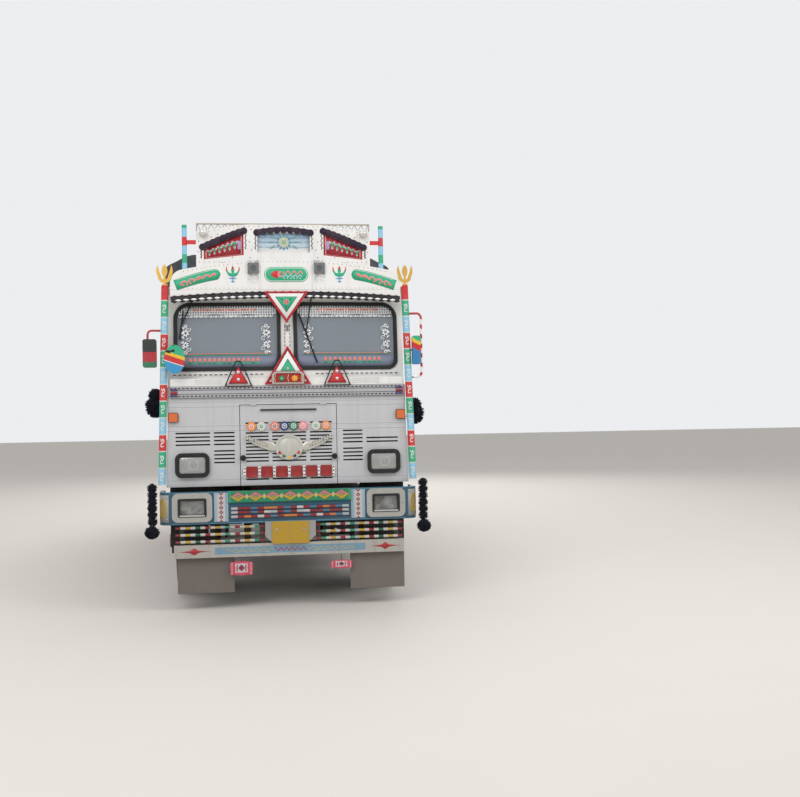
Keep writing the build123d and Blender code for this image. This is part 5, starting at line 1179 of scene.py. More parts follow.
# The band, arrowheads, net, lace edge and side columns on the panes, and the dashes round them
def makeScreen():
    glass = screenAt(0.0062)
    films, marks, dashes = Pile(), Pile(), Pile()
    for _, s in sideWays:
        # the blue-grey band along each pane's foot, with its salmon and green lines
        a = np.linspace(paneLook["inner"] + 0.002, paneLook["outer"] - 0.002, 48)
        low, high = paneReach(a)
        films.add(film(glass, s * a, low, np.minimum(high, paneLook["bandTop"])),
                  (0.185, 0.215, 0.300))
        for up, name, wide in ((2.384, "salmon", 0.0055), (2.371, "green", 0.0050)):
            marks.add(ribbon(glass, s * a[3:-3], up, wide, 0.0018, 0.0006), name)
        # a row of two-tone arrowheads, salmon above and green below
        wide, foot = 0.019, 2.287
        for x in (np.linspace(0.275, 0.905, 15) if s < 0 else np.linspace(0.360, 0.880, 12)):
            for ways, rises, name in (
                    ((-1, 1, 0.55, 0.0, -0.55), (0.0, 0.0, 0.026, 0.012, 0.026), "green"),
                    ((-0.8, 0.0, 0.8, 0.45, -0.45), (0.030, 0.018, 0.030, 0.058, 0.058), "salmon")):
                marks.add(slab(glass, s * x + wide * np.array(ways), foot + np.array(rises), 0.0022,
                               0.0010), name)
        # the white checked net across the top, clipped to the pane
        pitch, line = 0.0235, 0.0105
        across = np.arange(paneLook["inner"] + 0.012, paneLook["outer"] - 0.004, pitch)
        low, high = paneReach(across)
        foot = 2.745 + 0.012 * np.sin(across * 21)
        tall = np.stack([foot, (foot + high) / 2, high - 0.001], -1)
        keep = high - foot > 0.02
        films.add(ribbon(glass, s * across[keep, None], tall[keep], line, 0.0014, 0.0003), "net")
        for up in (2.762, 2.786, 2.809):
            reach = a[paneReach(a)[1] > up + 0.003]
            films.add(ribbon(glass, s * reach, up, line, 0.0014, 0.0003), "net")
        # a lace edge: hanging loops with a drop under each
        loops = np.linspace(0.150, 0.985, 19)
        turn = np.linspace(pi, 2 * pi, 12)
        films.add(ribbon(glass, s * (loops[:, None] + 0.024 * np.cos(turn)),
                         2.748 + 0.019 * np.sin(turn), 0.006, 0.0016, 0.0003), "lace")
        films.add(discs(glass, s * loops, 2.741, 0.0075, 0.0018, 0.0003, 10), "lace")
        # a salmon row in the net
        marks.add(boxes(glass, s * np.linspace(0.30, 0.86, 20), 2.798, 0.017, 0.024, 0.0022, 0.0012),
                  "salmon")
        # columns of blossoms, leaves and curls on both edges of the pane
        for x, flip in ((0.196, 1), (0.946, -1)):
            for up, size in ((2.645, 0.016), (2.580, 0.028), (2.470, 0.024), (2.395, 0.016)):
                ray = np.arange(7) * 2 * pi / 7 + up * 9
                films.add(leaf(glass, s * (x + 0.30 * size * np.cos(ray)),
                               up + 0.30 * size * np.sin(ray), size, size * 0.55,
                               ray if s > 0 else pi - ray, 0.0018, 0.0004, 7), "lace")
            for up in (2.615, 2.525, 2.430):
                films.add(scroll(glass, s * (x + 0.026 * flip), up, 0.024, 1.3, 0.006, 0.0018,
                                 -flip * s, 0.6), "curl")
                films.add(leaf(glass, s * np.array([x - 0.01 * flip, x - 0.012 * flip]),
                               np.array([up, up - 0.02]), 0.040, 0.013,
                               [2.3, 3.7] if flip * s > 0 else [0.8, -0.5], 0.0018, 0.0004, 7), "curl")
    # dashes: sill, moulding and middle post
    at = np.arange(-1.050, 1.051, 0.0475)
    at = at[np.abs(at) > 0.235]
    dashes.add(boxes(screenAt(0.0), at, 2.188, 0.030, 0.0075, 0.0012), "black")
    moulding = frontAt(panelFace - 0.022)
    for up in (2.0610, 1.9880):
        dashes.add(boxes(moulding, np.arange(-1.080, 1.081, 0.0375), up, 0.023, 0.0095, 0.0012),
                   "black")
    for x in (-0.024, 0.024):
        dashes.add(boxes(frontAt(panelFace - 0.0045), x, np.arange(2.455, 2.650, 0.036), 0.0065,
                         0.024, 0.0012), "black")
    for _, s in sideWays:
        for up, name in ((2.048, "purple"), (2.020, "darkRed"), (1.992, "purple")):
            dashes.add(ribbon(moulding, s * np.linspace(1.022, 1.086, 4), up, 0.020, 0.0022, 0.0004),
                       name)
    films.make("screen_films", signEnamel("window film", 0.45, 0.12, 1.8, 2.8))
    marks.make("screen_marks", signPaint)
    dashes.make("screen_dashes", signPaint)


# Warning triangles: white bands and green hearts, box with rosettes, wire guards
def triangleOutline(x, base, half, height, scale=1.0):
    middle = base + height / 3
    a = x + scale * np.array([-half, half, 0.0])
    b = middle + scale * (np.array([base, base, base + height]) - middle)
    return a, b


# Eight petals round a middle, a shorter row over them half a step on, and a round top
def rosette(pile, place, x, z, size, petals, heart, top, high=0.003):
    ray = np.arange(8) * pi / 4
    for way, out, long, wide, lift, sink, name in ((ray, 0.18, 0.80, 0.42, 0.0, 0.002, petals),
                                                   (ray + 0.39, 0.10, 0.50, 0.26, 0.0012, 0.001, heart)):
        pile.add(leaf(place, x + out * size * np.cos(way), z + out * size * np.sin(way), long * size,
                      wide * size, way, high + lift, high - sink, 7), name)
    pile.add(discs(place, x, z, 0.20 * size, high + 0.0024, high, 12), top)


def makeTriangles():
    brow, sill = bumperFace + 0.0295, panelFace - 0.0285
    marks, plated, wires = Pile(), Pile(), Pile()
    down, up = frontAt(brow), frontAt(sill)
    # each large one by its middle, base, half width and height, which is negative for the hung one
    hung = (-0.006, 2.958, 0.208, -0.296)
    for place, (x, base, half, height) in ((down, hung), (up, (0.0, 2.090, 0.217, 0.361))):
        for scale, name, high in ((0.80, "white", 0.0030), (0.50, "darkGreen", 0.0042),
                                  (0.44, "green", 0.0050)):
            a, b = triangleOutline(x, base, half, height, scale)
            marks.add(slab(place, a, b, high, 0.0004), name)
        # a lip round the rim and rivets along it
        a, b = triangleOutline(x, base, half, height, 0.985)
        c, d = triangleOutline(x, base, half, height, 0.90)
        middle = x, base + height / 3
        marks.add(rimFrame(place, (a - middle[0], b - middle[1]), (c - middle[0], d - middle[1]),
                           middle, 0.005, 0.0, 0.0015), (0.52, 0.02, 0.035))
        share = np.linspace(0.05, 0.95, 8)
        a, b = triangleOutline(x, base, half, height, 0.865)
        for i in range(3):
            ra = a[i] + (a[(i + 1) % 3] - a[i]) * share
            rb = b[i] + (b[(i + 1) % 3] - b[i]) * share
            marks.add(discs(place, ra, rb, 0.0032, 0.0040, 0.0026, 8), "grey")
    middle = hung[1] + hung[3] / 3
    rosette(marks, down, hung[0], middle, 0.030, "pink", "red", "white", 0.0076)
    for angle in (0.5, 2.64, -pi / 2):
        marks.add(leaf(down, hung[0] + 0.030 * cos(angle), middle + 0.030 * sin(angle), 0.034, 0.015,
                       angle, 0.0066, 0.0046, 7), "darkGreen")
    rosette(marks, up, 0.0, 2.235, 0.024, "green", "white", "darkGreen", 0.0076)
    # box in front of the upright one
    box = frontAt(sill - 0.026)
    outer = np.array([-0.150, 0.150, 0.150, 0.124, -0.124, -0.150])
    tall = np.array([2.090, 2.090, 2.183, 2.207, 2.207, 2.183])
    middle = 0.0, 2.145
    inner = (outer * 0.87, (tall - middle[1]) * 0.74)
    marks.add(rimFrame(box, (outer, tall - middle[1]), inner, middle, 0.0036, 0.0, 0.001),
              (0.42, 0.40, 0.36))
    rosette(marks, box, -0.060, 2.143, 0.034, "darkGreen", "green", "yellow", 0.0032)
    rosette(marks, box, 0.062, 2.143, 0.034, "yellow", "orange", "paleYellow", 0.0032)
    for x in (-0.122, 0.0, 0.124):
        marks.add(ribbon(box, x + 0.004 * np.sin(np.linspace(0, 9, 9)), np.linspace(2.108, 2.180, 9),
                         0.004, 0.0022, 0.0004), "paleYellow")
    # small reflectors, each with two domed bolts inside a bent wire
    for _, s in sideWays:
        x = s * 0.461
        for scale, name, high in ((0.93, "darkRed", 0.0030), (0.84, "brightRed", 0.0044)):
            a, b = triangleOutline(x, 2.100, 0.092, 0.160, scale)
            marks.add(slab(up, a, b, high, 0.0004), name)
        bolts(plated, up, x, [2.138, 2.205], 0.015, 0.004, 0.010)
        corners = [(-0.118, 2.084), (-0.106, 2.076), (0.106, 2.076), (0.118, 2.084), (0.112, 2.102),
                   (0.030, 2.288), (0.0, 2.306), (-0.030, 2.288), (-0.112, 2.102), (-0.118, 2.084)]
        loop = smoothPath([(x + a, sill - 0.022, b) for a, b in corners], 60)
        wires.add(tube(loop, 0.0058, 8), "black")
        for side in (-1, 1):
            foot = [(x + side * a, sill + back, b) for a, back, b in
                    ((0.108, -0.022, 2.094), (0.108, -0.002, 2.094), (0.106, 0.010, 2.096))]
            wires.add(tube(smoothPath(foot, 8), 0.005, 8), "black")
    # the clasp between the triangles
    post = frontAt(panelFace - 0.0045)
    plated.add(mound(post, *moved(0.0, 2.655, circle(0.022, 20)), (0, 1, 1, 0.8, 0.3, 0),
                     (0.0, 0.0, 0.006, 0.014, 0.020, 0.020)), (0.62, 0.60, 0.56))
    plated.add(boxes(post, 0.0, 2.615, 0.022, 0.050, 0.008), "grey")
    marks.make("triangle_marks", signPaint)
    plated.make("triangle_bolts", chromeTint, smooth=35)
    wires.make("triangle_guards", blackRubber, smooth=60)


# Forehead: capsules, painted three-bladed ornaments, horn grilles, dots, wavy lines
foreheadLook = {
    "capsule": (-0.002, 3.118),
    "horn": (0.309, 3.178),
    "topRadius": 4.830,
    "scallops": 30,
    "scallopSpan": 2.144,
}


# The lower edge: a parabola's crown over the middle
def browLine(a):
    return 2.896 + 0.046 * (1 - (a / 1.075) ** 2)


# The upper edge: an arc's fall from its top
def topLine(a):
    radius = foreheadLook["topRadius"]
    return 3.261 - (radius - np.sqrt(radius ** 2 - a ** 2))


def capsule(place, x, z, width, height, high):
    a, b = roundRect(width, height, height / 2 - 0.0005, 9)
    return slab(place, x + a, z + b, high, 0.0003)


# Horns and a flame above a bowl, on a stem with bars: red tips, green bowl, blue stem
def paintedBlades(pile, place, x, z, size):
    t = np.linspace(0, 1, 10)
    for s in (-1, 1):
        a = x + s * size * (0.14 + 0.30 * np.sin(pi * (0.5 * t)) - 0.06 * t ** 3)
        b = z + size * (-0.02 + 0.50 * t ** 1.3)
        width = size * (0.15 - 0.12 * t)
        pile.add(ribbon(place, a[:6], b[:6], width[:6], 0.0014, 0.0003), "green")
        pile.add(ribbon(place, a[5:], b[5:], width[5:] * 1.15, 0.0016, 0.0004), "brightRed")
    pile.add(leaf(place, x, z + 0.02 * size, 0.50 * size, 0.20 * size, pi / 2, 0.0015, 0.0003), "green")
    pile.add(leaf(place, x, z + 0.28 * size, 0.26 * size, 0.13 * size, pi / 2, 0.0019, 0.0004),
             "brightRed")
    turn = np.linspace(pi, 2 * pi, 13)
    pile.add(slab(place, x + 0.34 * size * np.cos(turn), z + 0.10 * size + 0.24 * size * np.sin(turn),
                  0.0017, 0.0003), "green")
    pile.add(boxes(place, x, z - 0.33 * size, 0.06 * size, 0.36 * size, 0.0015, 0.0003), "stemBlue")
    for half, down, wide in ((0.26, 0.24, 0.12), (0.14, 0.44, 0.09)):
        pile.add(leaf(place, x - half * size, z - down * size, 2 * half * size, wide * size, 0.0, 0.0019,
                      0.0004), "stemBlue")


def makeForehead():
    place = frontAt(browFace)
    marks, dark, metal = Pile(), Pile(), Pile()
    middle = foreheadLook["capsule"]
    marks.add(capsule(place, *middle, 0.412, 0.142, 0.0010), "green")
    marks.add(rimFrame(place, roundRect(0.398, 0.128, 0.063, 9), roundRect(0.386, 0.116, 0.057, 9),
                       middle, 0.0018, 0.0005, 0.0003), "white")
    marks.add(leaf(place, -0.150, 3.120, 0.105, 0.070, 0.0, 0.0020, 0.0006), "brightRed")
    marks.add(leaf(place, -0.085, 3.120, 0.045, 0.022, [0.7, -0.7], 0.0024, 0.0006), "pink")
    a = np.linspace(-0.035, 0.155, 60)
    marks.add(ribbon(place, a, 3.136 + 0.015 * np.sin(a * 110), 0.010, 0.0020, 0.0006), "pink")
    marks.add(ribbon(place, a - 0.012, 3.104 + 0.010 * np.sin(a * 140 + 1), 0.008, 0.0020, 0.0006),
              "paleBlue")
    marks.add(discs(place, np.linspace(-0.02, 0.13, 6), 3.082, 0.0055, 0.0020, 0.0006, 8), "white")
    for _, s in sideWays:
        # side capsules follow the board's fall and widen towards the middle
        t = np.linspace(0, 1, 30)
        a = 0.612 + 0.415 * t
        b = 3.122 - 0.105 * t ** 1.4
        tall = 0.104 * np.sqrt(np.clip(1 - (1 - np.minimum(t / 0.12, 1.0)) ** 2, 0.02, 1.0))
        marks.add(ribbon(place, s * a, b, tall * (1 - 0.05 * t), 0.0010, 0.0003), "green")
        inside = slice(3, -3)
        wave = 0.013 * np.sin(np.linspace(0, 30, 24))
        marks.add(ribbon(place, s * a[inside], b[inside] + wave, 0.015, 0.0018, 0.0005), "pink")
        marks.add(leaf(place, s * (a[4:26:3]), b[4:26:3] - 0.014, 0.030, 0.016,
                       1.0 + np.arange(8) * 0.7, 0.0022, 0.0007, 7), "salmon")
        marks.add(ribbon(place, s * a[2:-1], b[2:-1] + tall[2:-1] * 0.42, 0.0040, 0.0016, 0.0005),
                  "white")
        paintedBlades(marks, place, s * 0.498, 3.118, 0.150)
        # horn boxes: ringed round grilles in a pierced face, with a stained plate under each
        horn, (x, z) = frontAt(browFace - 0.024), foreheadLook["horn"]
        for radius, high in ((0.034, 0.0030), (0.024, 0.0050), (0.013, 0.0070)):
            metal.add(rimFrame(horn, circle(radius, 24), circle(radius * 0.80, 24), (s * x, z),
                               high, 0.0, 0.0008), (0.22, 0.225, 0.24))
        bolts(metal, horn, s * x + np.array([-0.04, 0.04, -0.04, 0.04]),
              [3.140, 3.140, 3.216, 3.216], 0.0045, 0.0, 0.002, (0.10, 0.10, 0.11))
    # rows of dots along the top edge and the seam
    a = np.arange(-0.95, 0.951, 0.041)
    dark.add(discs(place, a, topLine(a) - 0.020, 0.0036, 0.0014, 0.0003, 8), "dot")
    dark.add(discs(place, a[np.abs(a) > 0.24], 2.990, 0.0034, 0.0014, 0.0003, 8), "dot")
    # the dark line under the scallops, and pale glints between the two wavy edges: painted highlights
    a = np.linspace(-1.068, 1.068, 400)
    step = foreheadLook["scallopSpan"] / foreheadLook["scallops"]
    wave = 0.0065 * np.cos(2 * pi * (a - step / 2) / step)
    trim = frontAt(browFace - 0.008)
    dark.add(ribbon(trim, a, browLine(a) - 0.030 - wave - 0.008, 0.010, 0.0030, 0.0003),
             (0.006, 0.006, 0.008))
    at = np.arange(-14, 15) * step
    at = at[np.abs(at) > 0.21]
    marks.add(leaf(trim, at - 0.030, browLine(at) - 0.026, 0.060, 0.017, 0.0, 0.0036, 0.0006, 9),
              (0.88, 0.88, 0.90))
    dark.add(ribbon(trim, a, browLine(a) + 0.012 + wave * 0.9, 0.008, 0.0024, 0.0003),
             (0.030, 0.012, 0.020))
    marks.make("forehead_marks", signPaint)
    dark.make("forehead_lines", signPaint)
    metal.make("horn_grilles", chromeTint, smooth=35)


# Crest board: panels in red frames, black scalloped arches, rivets
def makeCrest():
    face = frontAt(signFace)
    deep = frontAt(signFace + 0.023)
    marks, dark = Pile(), Pile()
    # middle panel: a pale blue field that greys to the foot, and a leafy wheel in the middle
    a = np.linspace(-0.256, 0.256, 9)
    for i, tint in enumerate(((0.30, 0.44, 0.58), (0.38, 0.50, 0.62), (0.50, 0.60, 0.68),
                              (0.62, 0.66, 0.68))):
        up = 3.582 - 0.0475 * i - 0.022
        marks.add(ribbon(deep, a, up, 0.0485, 0.0010 + 0.0001 * i, 0.0001), tint)
    ray = np.arange(12) * pi / 6
    for out, way, long, wide, high, low, tint in (
            (0.022, ray, 0.060, 0.026, 0.0030, 0.0010, (0.12, 0.30, 0.40)),
            (0.016, ray + 0.26, 0.045, 0.018, 0.0036, 0.0012, (0.62, 0.60, 0.40))):
        marks.add(leaf(deep, out * np.cos(way), 3.497 + out * np.sin(way), long, wide, way, high, low),
                  tint)
    marks.add(discs(deep, 0.0, 3.497, 0.019, 0.0044, 0.0012, 18), (0.24, 0.46, 0.36))
    fan = np.array([-0.5, 0.0, 0.5])
    for _, s in sideWays:
        marks.add(leaf(deep, s * np.array([0.075, 0.085, 0.07]), [3.47, 3.50, 3.53], 0.075, 0.020,
                       fan if s > 0 else pi - fan, 0.0030, 0.0010), (0.20, 0.38, 0.34))
        marks.add(scroll(deep, s * 0.190, 3.470, 0.030, 1.4, 0.007, 0.0030, s), (0.55, 0.66, 0.74))
    marks.add(ribbon(deep, a, 3.405, 0.016, 0.0022, 0.0004), "white")
    marks.add(discs(deep, np.linspace(-0.22, 0.22, 12), 3.405, 0.0035, 0.0030, 0.001, 8), "pink")
    for _, s in sideWays:
        # side panels: red field, cream line, a row of leaves in green edged with white, blue end
        a = np.array([0.392, 0.392, 0.776, 0.776])
        b = np.array([3.372, 3.592, 3.444, 3.328])
        middle = a.mean(), b.mean()
        for scale, name, high in ((1.0, "brightRed", 0.0010), (0.90, "cream", 0.0018),
                                  (0.87, "darkRed", 0.0024)):
            marks.add(slab(deep, s * (middle[0] + (a - middle[0]) * scale),
                           middle[1] + (b - middle[1]) * scale, high, 0.0001), name)
        t = np.linspace(0.0, 1.0, 6)
        x, z = 0.478 + 0.245 * t, 3.474 - 0.080 * t
        size = 0.046 - 0.012 * t
        for scale, name, high in ((1.0, "white", 0.0036), (0.80, "green", 0.0044)):
            for k in range(6):
                for turn in (0.9, 2.24, -pi / 2):
                    marks.add(leaf(deep, s * x[k], z[k], size[k] * scale, size[k] * 0.50 * scale, turn,
                                   high, 0.0020, 7), name)
        marks.add(boxes(deep, s * 0.432, 3.470, 0.036, 0.082, 0.0036, 0.002),
                  (0.26, 0.34, 0.62))
        marks.add(ribbon(deep, s * (0.432 + 0.010 * np.sin(np.linspace(0, 9, 20))),
                         np.linspace(3.437, 3.503, 20), 0.007, 0.0046, 0.003), "pink")
    # scalloped arches: overlapping black half rounds that hang over each panel's upper edge
    t = np.linspace(0, 1, 9)
    arches = [(-0.262 + 0.524 * t, 3.590 + 0.026 * np.sin(pi * t))]
    for _, s in sideWays:
        arches.append((s * (0.388 + 0.400 * t), 3.606 - 0.160 * t ** 1.15))
    for a, b in arches:
        dark.add(discs(face, a, b, 0.034, 0.0060, 0.0004, 20, 0.002), (0.018, 0.010, 0.022))
        fine = np.linspace(0, 1, 30)
        dark.add(ribbon(face, np.interp(fine, t, a), np.interp(fine, t, b) + 0.012, 0.034, 0.0072,
                        0.0006), (0.030, 0.014, 0.034))
    # short wavy lines down both sides of each panel
    t = np.linspace(0, 1, 14)
    for x, low, high in ((0.276, 3.43, 3.57), (0.372, 3.43, 3.58), (0.800, 3.34, 3.43)):
        for _, s in sideWays:
            dark.add(discs(face, s * (x + 0.005 * np.sin(t * 20)), low + (high - low) * t, 0.0058,
                           0.0020, 0.0003, 8), (0.03, 0.02, 0.03))
    # rivets all over the board, some of them red
    columns = np.arange(-0.82, 0.821, 0.0482)
    dark.add(discs(face, columns, 3.300, 0.0040, 0.0020, 0.0002, 8), (0.10, 0.05, 0.05))
    edge = 3.594 + np.clip((0.85 - np.abs(columns)) / 0.49, 0, 1) * 0.074
    dark.add(discs(face, columns, edge - 0.016, 0.0036, 0.0020, 0.0002, 8), (0.16, 0.09, 0.08))
    spots = np.array([(0.315, 3.62), (0.335, 3.50), (0.315, 3.42), (0.330, 3.345), (0.600, 3.295),
                      (0.500, 3.345), (0.700, 3.545), (0.825, 3.50), (0.830, 3.40), (0.640, 3.570)])
    for _, s in sideWays:
        dark.add(discs(face, s * spots[:, 0], spots[:, 1], 0.0058, 0.0030, 0.0002, 10), "grey")
    marks.make("crest_marks", signPaint)
    dark.make("crest_scallops", signEnamel("scallop enamel", 0.25, 0.12, 2.6, 3.6), smooth=30)


# Poles: a white zigzag figure in each coloured band
def makePoles():
    marks = Pile()
    figure = np.array([(-0.018, 0.036), (-0.006, 0.008), (0.004, 0.034), (0.014, 0.010),
                       (0.004, -0.008), (-0.008, 0.002), (-0.012, -0.034), (0.012, -0.030)])
    strokes = ((smoothPath(figure[:5], 16), 0.004), (smoothPath(figure[4:], 14), 0.0))
    for _, s in sideWays:
        for i in range(12):
            middle = poleFoot + poleBand * (i + 0.5)
            if middle + 0.05 > 3.0:
                continue
            for path, lift in strokes:
                marks.add(ribbon(poleAt(s), path[:, 0], middle + lift + path[:, 1], 0.0075, 0.0012,
                                 0.0002), "white")
    marks.make("pole_figures", signPaint)


makeScreen()
makeTriangles()
makeForehead()
makeCrest()
makePoles()
print("stage: windscreen, triangles, forehead, crest and poles painted")


# Tyres: a tread of zigzag ribs between grooves, notched shoulders and banded side walls
wheelLook = {  # node, body, places of its tyres, place of its nuts, axle
    "front": ("front_tyre_", "front_wheel_", (0.965,), 1.1195, -2.875),
    "rear": ("rear_tyres_", "rear_wheels_", (0.77, 1.09), 0.934, 1.955),
}
tyreLook = {
    "radius": 0.525,
    "half": 0.137,
    "treadHalf": 0.106,
    "grooveAt": (-0.062, -0.021, 0.021, 0.062),
    "grooveWide": 0.011,
    "grooveDeep": 0.013,
    "zigzag": 0.0045,
    "periods": 66,
    "samples": 4,
}


# Ribs: every groove has four columns, two up and two down, that swing sideways as a triangle wave
# of the way round; the shoulder drops at one sample of each wave, which leaves a notch
def tyreGrid(x, y, s):
    look = tyreLook
    count = look["periods"] * look["samples"]
    turn = 2 * pi * np.arange(count) / count
    phase = np.arange(count) % look["samples"]
    swing = look["zigzag"] * np.array([-1.0, 0.0, 1.0, 0.0])[phase]
    notch = 0.011 * (phase == 1)
    wall = [(0.0875, 0.2565), (0.0985, 0.272), (0.1090, 0.292), (0.1260, 0.330), (0.1352, 0.366),
            (0.1352, 0.370), (0.1370, 0.372), (0.1370, 0.402), (0.1350, 0.405), (0.1335, 0.430),
            (0.1290, 0.462), (0.1315, 0.466), (0.1310, 0.478), (0.1265, 0.482), (0.1240, 0.492),
            (0.1180, 0.508)]
    inside = [(0.072, 0.2565), (0.111, 0.392), (0.095, 0.490)]
    edge, top = look["treadHalf"], look["radius"]
    shoulder = [(0.004, top - 0.006 - notch), (0.0, top - 0.0015 - notch),
                (-0.016, top - 0.001 - notch), (-0.017, top - 0.001)]
    columns = [(-d, r) for d, r in wall] + [(-edge - d, r) for d, r in shoulder]
    for place in look["grooveAt"]:
        wide = look["grooveWide"] / 2
        for d, deep in ((-wide, 0.0), (-wide * 0.55, 1.0), (wide * 0.55, 1.0), (wide, 0.0)):
            columns.append((place + d + swing, top - look["grooveDeep"] * deep))
    columns += [(edge + d, r) for d, r in reversed(shoulder)] + wall[::-1] + inside
    columns += [(-d, r) for d, r in reversed(inside)]
    across, radius = (np.stack([column[i] + 0 * turn for column in columns], 1) for i in range(2))
    return np.stack([x + s * across, y + radius * np.cos(turn)[:, None],
                     hubHeight + radius * np.sin(turn)[:, None]], -1)


# Patches of dried soil over rubber whose grain varies
def tyreRubber():
    bench = Bench("tread rubber", Specular_IOR_Level=0.3)
    grain = bench.noise(26.0, 4.0)
    colour = bench.blend(grain, (0.022, 0.021, 0.020), (0.050, 0.047, 0.043))
    soil = bench.noise(5.0, 5.0).ease(0.46, 0.72)
    colour = bench.blend(soil * 0.55, colour, (0.17, 0.145, 0.12))
    rough = grain * 0.15 + 0.74
    return bench.finish(colour, rough, bench.noise(160.0, 3.0), 0.30, 0.0008)


def makeTyres():
    rubberTread = tyreRubber()
    wheels = [(side, s) + wheelLook[end] for end in ("front", "rear") for side, s in sideWays]
    for side, s, node, body, places, _, y in wheels:
        pile = Pile()
        for x in places:
            pile.add(tyreGrid(s * x, y, s), ring=True)
        piece = pile.make("tread_" + node + side, rubberTread, body=body + side + "_body", smooth=38)
        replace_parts(piece, node + side)
    # ten nuts round each hub
    nutSteel = castIron("nut steel", "nut")
    turn = np.arange(10) * pi / 5 + 0.2
    six = circle(0.0155, 6)
    scales = np.array([0, 1, 1, 0.86, 0.60, 0.60, 0.48, 0])[:, None]
    highs = np.array([0.0, 0.0, 0.020, 0.024, 0.024, 0.033, 0.035, 0.035])[:, None]
    for side, s, node, body, _, x, y in wheels:
        a, b = moved(y, hubHeight, 0.124 * np.array([np.cos(turn), np.sin(turn)]))
        a, b = a[:, None, None], b[:, None, None]
        grid = sideAt(x, s)(a + six[0] * scales, b + six[1] * scales, highs + 0 * a + 0 * six[0])
        end = node.split("_")[0]
        Pile().add(grid, "nut").make(end + "_nuts_" + side, nutSteel, body=body + side + "_body",
                                     smooth=30)


# A ball of rings: each ring's reach is the sine, its height the cosine, of the turn from the top
def sphere(sides, rows):
    ball = circle(1.0, sides)
    turn = np.linspace(0, pi, rows)[:, None]
    return np.stack([np.sin(turn) * ball[0], np.sin(turn) * ball[1], np.cos(turn) + 0 * ball[0]], -1)


# Yarn: threads thrown out from a ball's middle, bent by their own droop
def yarnBall(pile, centre, radius, count, seed, droop=0.25, thread=0.0026):
    rng = np.random.default_rng(seed)
    # evenly spread directions: heights in equal steps and turns by the golden angle
    k = np.arange(count) + 0.5
    up = 1 - 2 * k / count
    turn = k * pi * (3 - sqrt(5))
    flat = np.sqrt(1 - up ** 2)
    way = np.stack([flat * np.cos(turn), flat * np.sin(turn), up], -1)
    way += rng.normal(0, 0.16, way.shape)
    way /= np.linalg.norm(way, axis=-1, keepdims=True)
    reach = radius * rng.uniform(0.86, 1.0, count)
    t = np.array([0.15, 0.5, 0.8, 1.0])
    path = way[:, None, :] * (reach[:, None] * t)[..., None]
    wobble = rng.normal(0, 0.05 * radius, path.shape) * t[:, None]
    path = path + wobble
    path[..., 2] -= droop * radius * t ** 2 * 0.5
    # no thread reaches past the ball
    size = np.linalg.norm(path, axis=-1, keepdims=True)
    path *= np.minimum(1.0, radius / np.maximum(size, 1e-6))
    shade = rng.uniform(0.55, 1.5, (count, 1)) * np.array([[0.010, 0.011, 0.020]])
    pile.add(tube(path + np.asarray(centre, float), thread * np.array([0.9, 1.2, 1.1, 0.7]), 4), shade)
    core = sphere(16, 11)
    lump = 1 + 0.05 * np.sin(core[..., :1] * 9 + seed) * np.cos(core[..., 2:] * 7)
    pile.add(np.asarray(centre, float) + 0.66 * radius * core * lump, (0.006, 0.006, 0.010))


def yarnFinish():
    bench = Bench("black yarn", Specular_IOR_Level=0.15)
    colour = bench.blend(bench.noise(60.0, 3.0) * 0.5, bench.tint(), (0.030, 0.032, 0.045))
    return bench.finish(colour, 0.9, bench.noise(420.0, 2.0), 0.35, 0.0006)


def makeTassels():
    yarn = yarnFinish()
    bunches, strings = Pile(), Pile()
    y, seed, yarnEdge = bumperFace + 0.245, 11, 1.330
    for s, x, top, low in ((-1, 1.235, 2.095, 1.790), (1, 1.228, 1.972, 1.690)):
        reach = yarnEdge - x if s < 0 else 0.090
        for dx, dy, z, radius, count in ((0, 0, low + reach, reach, 420),
                                         (-0.005, 0.0, top - 0.080, 0.078, 330),
                                         (0.012, -0.010, (low + top) / 2 - 0.012, reach * 0.93, 330)):
            yarnBall(bunches, (s * (x + dx), y + dy, z), radius, count, seed, 0.5, 0.0032)
            seed += 1
    y = bumperFace + 0.040
    for s, low in ((-1, 0.655), (1, 0.645)):
        x = yarnEdge - 0.062
        yarnBall(strings, (s * x, y, low + 0.095), 0.074, 420, seed, 0.6, 0.0030)
        for i in range(6):
            seed += 1
            yarnBall(strings, (s * (x - 0.006), y, low + 0.185 + 0.062 * i), 0.050, 170, seed, 0.2,
                     0.0026)
        path = smoothPath([(s * (x - 0.006), y, low + up) for up in (0.10, 0.36, 0.520)], 12)
        strings.add(tube(path, 0.0035, 8), (0.010, 0.011, 0.020))
        seed += 1
    for name, pile in (("yarn_bunches", bunches), ("yarn_strings", strings)):
        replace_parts(pile.make(name, yarn), "tassels")


# A cloth of even thickness: points to both sides of a grid along its normals, edges closed
def clothShell(grid, thick):
    grid = np.asarray(grid, float)
    du, dv = np.gradient(grid, axis=1), np.gradient(grid, axis=0)
    normal = np.cross(du, dv)
    size = np.linalg.norm(normal, axis=-1, keepdims=True)
    normal = normal / np.maximum(size, 1e-9)
    outer, inner = grid + normal * thick / 2, grid - normal * thick / 2
    shell = np.concatenate([outer, inner[:, ::-1]], 1)
    first = np.concatenate([grid[:1], grid[:1, ::-1]], 1)
    last = np.concatenate([grid[-1:], grid[-1:, ::-1]], 1)
    return np.concatenate([first, shell, last], 0)


# Creases: the sum of folded waves, each a rounded ridge of the distance across it
def creases(a, b, seed, count=9, low=3.0, high=16.0):
    rng = np.random.default_rng(seed)
    total = 0 * a
    for _ in range(count):
        angle, rate, phase = rng.uniform(0, pi), rng.uniform(low, high), rng.uniform(0, 6.28)
        wave = np.abs(np.sin(0.5 * rate * (a * np.cos(angle) + b * np.sin(angle)) + phase
                             + 0.6 * np.sin(1.7 * a + phase) * np.cos(1.3 * b)))
        total = total + (1 - wave) ** 2.2 / (1 + 0.06 * rate)
    return total / count


